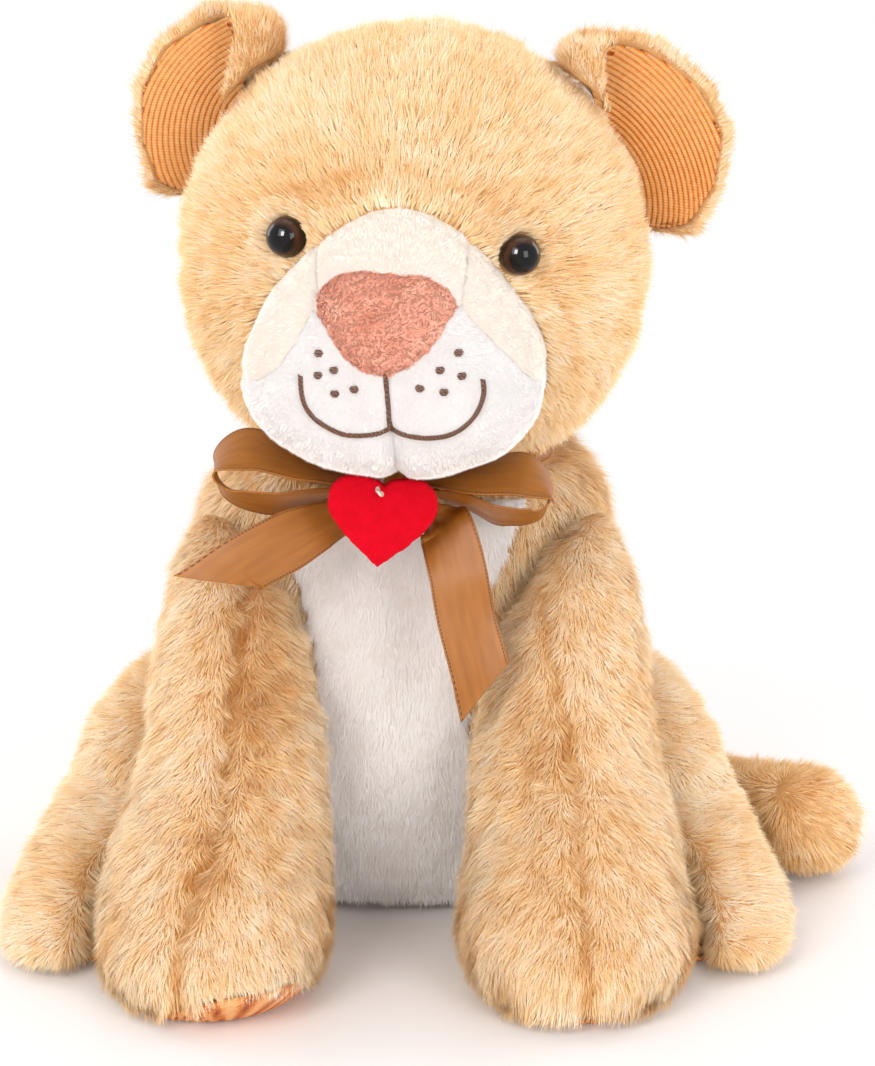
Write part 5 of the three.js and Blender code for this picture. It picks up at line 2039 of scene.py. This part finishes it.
@dataclass
class Tag:
    """The felt heart and the string that it hangs on."""

    width: float = 32.0
    height: float = 27.2
    thickness: float = 4.0
    place: tuple[float, float, float] = (-3.6, -76.0, 134.0)
    roll: float = 5.0
    hole: float = 0.345
    strand: float = 0.42
    voxel: float = 0.42
    heart: Object | None = None
    string: Object | None = None

    def _half_outline(self) -> Array:
        """One side of the heart from its point to its notch, in shares.

        Returns:
            Its points, as rows.
        """
        t = np.linspace(0, 1, 24)[:, None]
        parts = []
        for a, b, c, d in (np.array(curve, float) for curve in HEART_CURVES):
            parts.append((1 - t) ** 3 * a + 3 * (1 - t) ** 2 * t * b + 3 * (1 - t) * t ** 2 * c + t ** 3 * d)
        return np.vstack([part[:-1] for part in parts] + [parts[-1][-1:]])

    def build(self, felt: Material, cord: Material) -> None:
        """Makes the heart and the string.

        Args:
            felt: the heart's material.
            cord: the string's material.
        """
        half = self._half_outline() * np.array([self.width / 2, self.height / 2])
        outline = np.vstack([half, (half * [-1, 1])[::-1][1:-1]])
        rng = np.random.default_rng(5)
        outline = outline + unit(outline) * (0.12 * rng.normal(size=(len(outline), 1)))
        mesh = bpy.data.meshes.new("heart_felt")
        mesh.from_pydata([(x * MM, -self.thickness / 2 * MM, z * MM) for x, z in outline], [],
                         [list(range(len(outline)))])
        self.heart = new_object("heart_felt", mesh)
        edited(self.heart, lambda: bpy.ops.mesh.extrude_region_move(
            TRANSFORM_OT_translate={"value": (0, self.thickness * MM, 0)}))
        modified(self.heart, "REMESH", mode="VOXEL", voxel_size=self.voxel * MM)
        modified(self.heart, "SMOOTH", factor=0.5, iterations=9)
        skin = Surface.of(self.heart)
        edge = 1 - np.abs(skin.normals[:, 1])
        bump = 0.10 * waves(skin.points, 0.0022, 61) + 0.08 * waves(skin.points, 0.0011, 62)
        bump += 0.05 * edge * waves(skin.points, 0.0007, 63)
        turn = Matrix.Translation(Vector(self.place) * MM) @ Matrix.Rotation(math.radians(self.roll), 4, "Y")
        move_points(self.heart, placed(skin.points + skin.normals * (bump * MM)[:, None], turn))
        bpy.ops.object.shade_smooth()
        dress(self.heart, felt, "tag", "felt", "heart_tag")
        self._thread(cord)

    def _thread(self, material: Material) -> None:
        """Two strands twisted together, from the knot through the heart and back.

        Args:
            material: the string's material.
        """
        hole = self.place[2] + self.height * self.hole
        corners = np.array([[-3.4, -60.35, 143.6], [-3.4, -68.2, 145.0], [-4.4, -79.4, 144.1], [-3.6, -79.6, hole],
                            [-3.6, -72.6, hole - 1.4], [-0.2, -60.35, hole - 1.4]])
        path = route_points(corners, np.linspace(0, 1, 160))
        along = unit(np.gradient(path, axis=0))
        side = unit(np.cross(along, [0.4, 0.1, 0.9]))
        other = np.cross(along, side)
        run = lengths_along(path)
        parts = []
        for phase in (0.0, math.pi):
            turn = (run / 0.45 + phase)[:, None]
            ply = path + (side * np.cos(turn) + other * np.sin(turn)) * self.strand * 0.8
            parts.append(tube(ply * MM, self.strand * MM, 8))
        self.string = polygons("tag_string_twist", *joined(parts))
        dress(self.string, material, "tag", "string", "tag_string")


# ------ the studio

@dataclass
class Studio:
    """The camera, the lamps, the pale floor and the white beyond it."""

    place: tuple[float, float, float] = (12.7, -1057.4, 412.0)
    aim: tuple[float, float, float] = (12.7, 0.0, 108.8)
    lens: float = 118.68
    level: float = 0.72

    def camera(self) -> None:
        """Makes the camera at the photograph's angle."""
        data = bpy.data.cameras.new("view")
        data.lens, data.sensor_width = self.lens, 36.0
        view = bpy.data.objects.new("view", data)
        bpy.context.scene.collection.objects.link(view)
        view.location = Vector(self.place) * MM
        view.rotation_euler = (Vector(self.aim) - Vector(self.place)).to_track_quat("-Z", "Y").to_euler()
        bpy.context.scene.camera = view

    def light(self) -> None:
        """Makes the lamps, a window that only the gloss shows, and the world."""
        middle, face = (0, 0, 0.13), (0, -0.08, 0.2)
        for name, spot, aim, (wide, high), power, tint in (
                ("key", (-0.72, -1.15, 0.95), middle, (0.8, 1.0), 11.0, (1.0, 0.985, 0.96)),
                ("fill", (0.75, -1.2, 0.5), middle, (0.6, 0.8), 7.5, (0.99, 0.99, 1.0)),
                ("back left", (-1.1, 0.55, 0.55), middle, (0.5, 0.9), 4.5, (1.0, 0.99, 0.98)),
                ("back right", (1.1, 0.55, 0.55), middle, (0.5, 0.9), 4.5, (1.0, 0.99, 0.98)),
                ("top", (0.1, 0.3, 1.3), middle, (0.8, 0.8), 2.0, (1.0, 1.0, 1.0)),
                ("window", (-0.42, -1.0, 0.72), face, (0.34, 0.44), 14.0, (1.0, 1.0, 1.0))):
            lamp = bpy.data.lights.new(name, "AREA")
            lamp.shape, lamp.size, lamp.size_y = "RECTANGLE", wide, high
            lamp.energy, lamp.color = power, tint
            held = bpy.data.objects.new(name, lamp)
            bpy.context.scene.collection.objects.link(held)
            held.location = spot
            held.rotation_euler = (Vector(aim) - Vector(spot)).to_track_quat("-Z", "Y").to_euler()
            held.visible_diffuse = name != "window"
        world = bpy.data.worlds.new("white")
        bpy.context.scene.world = world
        world.use_nodes = True
        board = Board("white", world.node_tree)
        world.node_tree.nodes.clear()
        path = board.add("ShaderNodeLightPath")
        seen = board.maths("MAXIMUM", path.outputs["Is Camera Ray"], board.maths(
            "MAXIMUM", path.outputs["Is Glossy Ray"], path.outputs["Is Transmission Ray"]))
        strength = board.maths("MULTIPLY_ADD", seen, 1.0 - self.level, self.level)
        back = board.add("ShaderNodeBackground", {"Color": (1, 1, 1, 1), "Strength": strength})
        board.add("ShaderNodeOutputWorld", {"Surface": back.outputs[0]})

    def floor(self) -> None:
        """Lays the floor, which fades into the white beyond."""
        bpy.ops.object.select_all(action="DESELECT")
        bpy.ops.mesh.primitive_circle_add(vertices=96, radius=2.5, fill_type="NGON", location=(0, 0, 0))
        ground = bpy.context.active_object
        ground.name = "floor"
        board = Board("floor_white")
        where = board.where()
        far = board.add("ShaderNodeVectorMath", {0: where}, operation="LENGTH").outputs["Value"]
        rough = board.between(board.noise(where, 300.0, 3.0), 0.3, 0.7, 0.3, 0.4)
        cloth = board.add("ShaderNodeBsdfPrincipled", {"Base Color": (0.93, 0.88, 0.86, 1), "Roughness": rough,
                                                       "Specular IOR Level": 0.45})
        glow = board.add("ShaderNodeEmission", {"Color": (1, 1, 1, 1), "Strength": 1.0})
        path = board.add("ShaderNodeLightPath")
        seen = board.maths("MAXIMUM", path.outputs["Is Camera Ray"], path.outputs["Is Glossy Ray"])
        share = board.maths("MULTIPLY", board.between(far, 0.11, 0.27, 0.03, 1.0), seen)
        mixed = board.add("ShaderNodeMixShader", {0: share, 1: cloth.outputs[0], 2: glow.outputs[0]})
        board.add("ShaderNodeOutputMaterial", {"Surface": mixed.outputs[0]})
        paint(ground, board.material)


# ------ the lion

TAN = Pile("tan", "#D8944A", "#FCD8A0", "#FFF2DC")
# The white pile's dark tone is warm: painted warm shade, for the light that the tan pile throws into its gaps.
WHITE = Pile("white", "#F4EBE5", "#FDF9F7", "#FFFEFD", root=0.98, sheen=0.3)
CREAM = Pile("cream", "#F8E8D8", "#FEF3E8", "#FFFAF4", root=0.96, sheen=0.15)
SNOW = Pile("snow", "#ECE4E1", "#FAF5F3", "#FFFEFD", root=0.96, sheen=0.15)
BLUSH = Pile("blush", "#D07C62", "#EFA086", "#FBC4AC", sheen=0.1)
FELT = Nap("heart_felt", "#E4001C", "#FA0828", grain=3200.0, sheen=0.02, cloud=260.0, gloss=0.05)
CREAM_CLOTH = Nap("muzzle_cream", "#FAEADB", "#FFF5EA")
WHITE_CLOTH = Nap("muzzle_white", "#EFE8E5", "#FBF8F7")
NOSE_CLOTH = Nap("nose_cloth", "#C8785C", "#E89C80", grain=1500.0, depth=0.0008)
STRING = Thread("tag_string", "#BFA98B", "#F4E8D6")
DARK_THREAD = Thread("dark_thread", "#4A2412", "#8A5A3C", twist=9000.0)

LEG_PILE = (Coat(4.6, 0.38, 2.7, 20, bent=False), Coat(6.4, 0.34, 2.6, 26, bent=False, tone=0.12))
# The tail's coats are toned darker: painted shade for where it lies low, under the body and by the hind legs.
TAIL_PILE = (Coat(4.8, 0.4, 2.9, 12, bent=False, tone=-0.2), Coat(7.0, 0.34, 2.7, 17, bent=False, tone=-0.12))
SHORT_PILE = (Coat(1.7, 0.17, 6.5, 38, bent=False),)
CURLED_PILE = (Coat(1.9, 0.29, 6.5, 62, tip_lift=0),)
EAR_PILE = (Coat(3.6, 0.38, 3.2, 15, bent=False, tone=-0.05), Coat(5.2, 0.31, 2.8, 21, bent=False))
BIB_PILE = (Coat(3.4, 0.34, 3.2, 14, bent=False, tone=-0.04), Coat(4.4, 0.27, 3.2, 18, bent=False))
SEAT_PILE = (Coat(7.6, 0.38, 3.4, 30, bent=False),)
FRINGE_PILE = (Coat(4.6, 0.42, 4.2, 58, tip_lift=30),)
# Ruffled patches: the pile stands higher there, and is painted darker as shade.
FACE_RUFFLE_SHADE = (Ruffle(-15, 224, 12, 5, 0.5), Ruffle(-20, 209, 5, 8, 0.5), Ruffle(25, 213, 5, 9, 0.5))
RIGHT_LEG_RUFFLE_SHADE = (Ruffle(-42, 82, 13, 21), Ruffle(-53, 47, 9, 10, 0.7))
LEFT_LEG_RUFFLE_SHADE = (Ruffle(44, 68, 12, 17, 0.8), Ruffle(50, 30, 8, 12, 0.6))


class Lion:
    """The whole toy, built from its sub-assemblies."""

    def __init__(self) -> None:
        """Makes the finishes."""
        self.effects = Effects()
        self.tan_cloth = Backing("tan", "#C98C4A", "#E8B47A").material(self.effects)
        self.white_cloth = Backing("white", "#F0E6DF", "#FAF6F3").material(self.effects)
        self.tan = TAN.material()
        self.white = WHITE.material()
        self.cord = Corduroy().material(self.effects)
        self.satin = Satin().material(self.effects)
        self.skins: dict[str, Skin] = {}
        self.hard: list[Object] = []
        self.eyes: list[Object] = []
        self.soles: dict[str, Sole] = {}
        self.muzzle = Muzzle()
        self.nose = Nose()
        self.triangles = 0

    def trim(self) -> None:
        """Makes what isn't pile: ribbon, tag, eyes, nose, muzzle, ears' linings and soles."""
        self.hard += [Knot().build(self.satin), Collar().build(self.satin)]
        for name, side, rows, rise, slant in (("ribbon_loop_left", Side.LEFT, LOOP_LEFT, 14, 0),
                                              ("ribbon_loop_right", Side.RIGHT, LOOP_RIGHT, 14, 0),
                                              ("ribbon_tail_left", Side.LEFT, TAIL_LEFT, 56, -0.35),
                                              ("ribbon_tail_right", Side.RIGHT, TAIL_RIGHT, 56, 0.5)):
            self.hard.append(Strip(name, side, rows, rise, slant, seed=len(self.hard)).build(self.satin))
        tag = Tag()
        tag.build(FELT.material(self.effects), STRING.material(self.effects))
        self.hard += [tag.heart, tag.string]
        self.muzzle.build(CREAM_CLOTH.material(self.effects), WHITE_CLOTH.material(self.effects))
        self.hard += self.muzzle.panels
        Stitching().build(self._tree(self.muzzle.panels), DARK_THREAD.material(self.effects))
        self.nose.build(NOSE_CLOTH.material(self.effects))
        self.hard.append(self.nose.obj)
        gloss, plastic = EyeGloss().material(), Moulded("washer_plastic", "#DEDED8", "#EFEFEA").material(self.effects)
        for side in Side:
            eye = Eye(side)
            eye.build(gloss, plastic)
            lining = EarLining(side)
            lining.build(self.cord)
            self.hard += [eye.obj, lining.obj]
            self.eyes.append(eye.obj)
            for front in (True, False):
                sole = Sole(side, front)
                sole.build(self.cord)
                self.hard.append(sole.obj)
                self.soles[f"{'front' if front else 'hind'}_leg_{side.word}"] = sole

    @staticmethod
    def _tree(objects: list[Object]) -> BVHTree:
        """Several pieces ready for ray tests."""
        points, faces = joined([(part.points, part.triangles) for part in map(Surface.of, objects)])
        return BVHTree.FromPolygons(points.tolist(), faces.tolist())

    def cloth(self) -> None:
        """Makes the skins."""
        ear = {"voxel": 1.3, "inset": 0.9, "puff": 0.0, "rounds": 4, "lumps": 0.3}
        for node, body, slot, extra in (
                ("body", "torso", "fur", {}),
                ("chest_bib", "torso", "bib", {"voxel": 2.2, "inset": 0.4, "puff": 0.0, "rounds": 3}),
                ("head", "head", "fur", {}),
                ("front_leg_left", "front_leg_left", "fur", {"creases": [(FRONT_SEAM_LEFT, 2.2, 1.4)]}),
                ("front_leg_right", "front_leg_right", "fur", {"creases": [(FRONT_SEAM_RIGHT, 2.4, 2.8)]}),
                ("hind_leg_left", "hind_leg_left", "fur", {"creases": [([(72, 43), (116, 39)], 4.5, 3.0)]}),
                ("hind_leg_right", "hind_leg_right", "fur", {"creases": [([(-72, 46), (-116, 42)], 4.5, 3.0)]}),
                ("tail", "tail", "fur", {"voxel": 3.5}),
                ("ear_left", "ear_left", "fur", ear), ("ear_right", "ear_right", "fur", ear)):
            cloth = self.white_cloth if slot == "bib" else self.tan_cloth
            self.skins[node] = Skin(node, body, slot, **extra).build(cloth)
        self.skins["front_leg_right"].open_hem(self.soles["front_leg_right"].hem)

    def pile(self) -> None:
        """Grows the pile on every skin."""
        hard = self._tree(self.hard)
        surfaces = {node: Surface.of(skin.obj) for node, skin in self.skins.items()}
        trees = {node: surface.tree() for node, surface in surfaces.items()}
        plans = [
            ("body", Comb.DOWN, Side.LEFT, {}),
            ("head", Comb.FACE, Side.LEFT, {"ruffles": FACE_RUFFLE_SHADE}),
            ("front_leg_left", Comb.PAW, Side.LEFT,
             {"seams": ((FRONT_SEAM_LEFT, 1.8),), "ruffles": LEFT_LEG_RUFFLE_SHADE, "coats": LEG_PILE}),
            ("front_leg_right", Comb.PAW, Side.RIGHT,
             {"seams": ((FRONT_SEAM_RIGHT, 2.2),), "ruffles": RIGHT_LEG_RUFFLE_SHADE, "coats": LEG_PILE}),
            ("hind_leg_left", Comb.HAUNCH, Side.LEFT, {"coats": LEG_PILE}),
            ("hind_leg_right", Comb.HAUNCH, Side.RIGHT, {"coats": LEG_PILE}),
            ("tail", Comb.TAIL, Side.LEFT, {"coats": TAIL_PILE}),
            ("ear_left", Comb.EAR, Side.LEFT, {"coats": EAR_PILE}),
            ("ear_right", Comb.EAR, Side.RIGHT, {"coats": EAR_PILE}),
            ("chest_bib", Comb.DOWN, Side.LEFT, {"coats": BIB_PILE, "uneven": 0.07}),
        ]
        for number, (node, comb, side, extra) in enumerate(plans):
            skin, surface = self.skins[node], surfaces[node]
            own = (node, "head") if node.startswith("ear") else (node,)
            others = [tree for name, tree in trees.items() if name not in own]
            free = reach_of(surface, others)
            if node == "chest_bib":
                free *= surface.normals[:, 1] < -0.1
            if node == "front_leg_right":
                hem = self.soles[node].hem(surface.points)
                free *= (hem < 0.0005) | (surface.points[:, 2] > hem + 0.0035)
            strands = Strands(f"{node}_pile", skin.body, skin.slot, comb_field(comb, side), seed=100 + number * 31,
                              **extra)
            self.triangles += strands.grow(surface, free, hard, self.white if skin.slot == "bib" else self.tan)
            if node == "head":
                ears = [self.skins["ear_left"].obj, self.skins["ear_right"].obj]
                for name, edges, reach, coats, seed, clear_of in (
                        ("head_fringe", self.muzzle.panels + self.eyes, 5.0, FRINGE_PILE, 77, hard),
                        ("ear_fringe", ears, 6.5, SEAT_PILE, 78, self._tree(ears + self.hard))):
                    fringe = Strands(name, "head", "fur", comb_field(comb, side), coats=coats, seed=seed)
                    seat = free * beside(surface, self._tree(edges), reach)
                    self.triangles += fringe.grow(surface, seat, clear_of, self.tan)

    def short_pile(self) -> None:
        """Grows the short pile on the muzzle's panels and on the nose."""
        nose = Surface.of(self.nose.obj)
        cream, snow = CREAM.material(), SNOW.material()
        for number, panel in enumerate(self.muzzle.panels):
            surface = Surface.of(panel)
            lip = "lip" in panel.name
            name = panel.name.replace("_cloth", "_pile")
            strands = Strands(name, "head", "muzzle_white" if lip else "muzzle_cream", comb_field(Comb.MUZZLE),
                              tuft=4.0, coats=SHORT_PILE, wander=14.0, uneven=0.06, seed=900 + number)
            self.triangles += strands.grow(surface, self.muzzle.lit(surface), nose.tree(), snow if lip else cream)
        outer = from_head(nose.points)[:, 1] / MM < -84
        strands = Strands("nose_pile", "head", "nose", comb_field(Comb.NOSE), coats=CURLED_PILE, wander=60.0, tuft=1.7,
                          uneven=0.12, seed=950)
        self.triangles += strands.grow(nose, outer.astype(float), self._tree(self.muzzle.panels), BLUSH.material())


def main() -> None:
    """Builds the scene in order."""
    logging.basicConfig(level=logging.INFO, format="%(message)s")
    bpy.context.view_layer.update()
    bpy.context.scene.view_settings.view_transform = "Standard"
    studio = Studio()
    studio.camera()
    lion = Lion()
    lion.trim()
    lion.cloth()
    lion.pile()
    lion.short_pile()
    LOG.info("the pile has %d triangles", lion.triangles)
    studio.light()
    studio.floor()


if __name__ == "__main__":
    main()
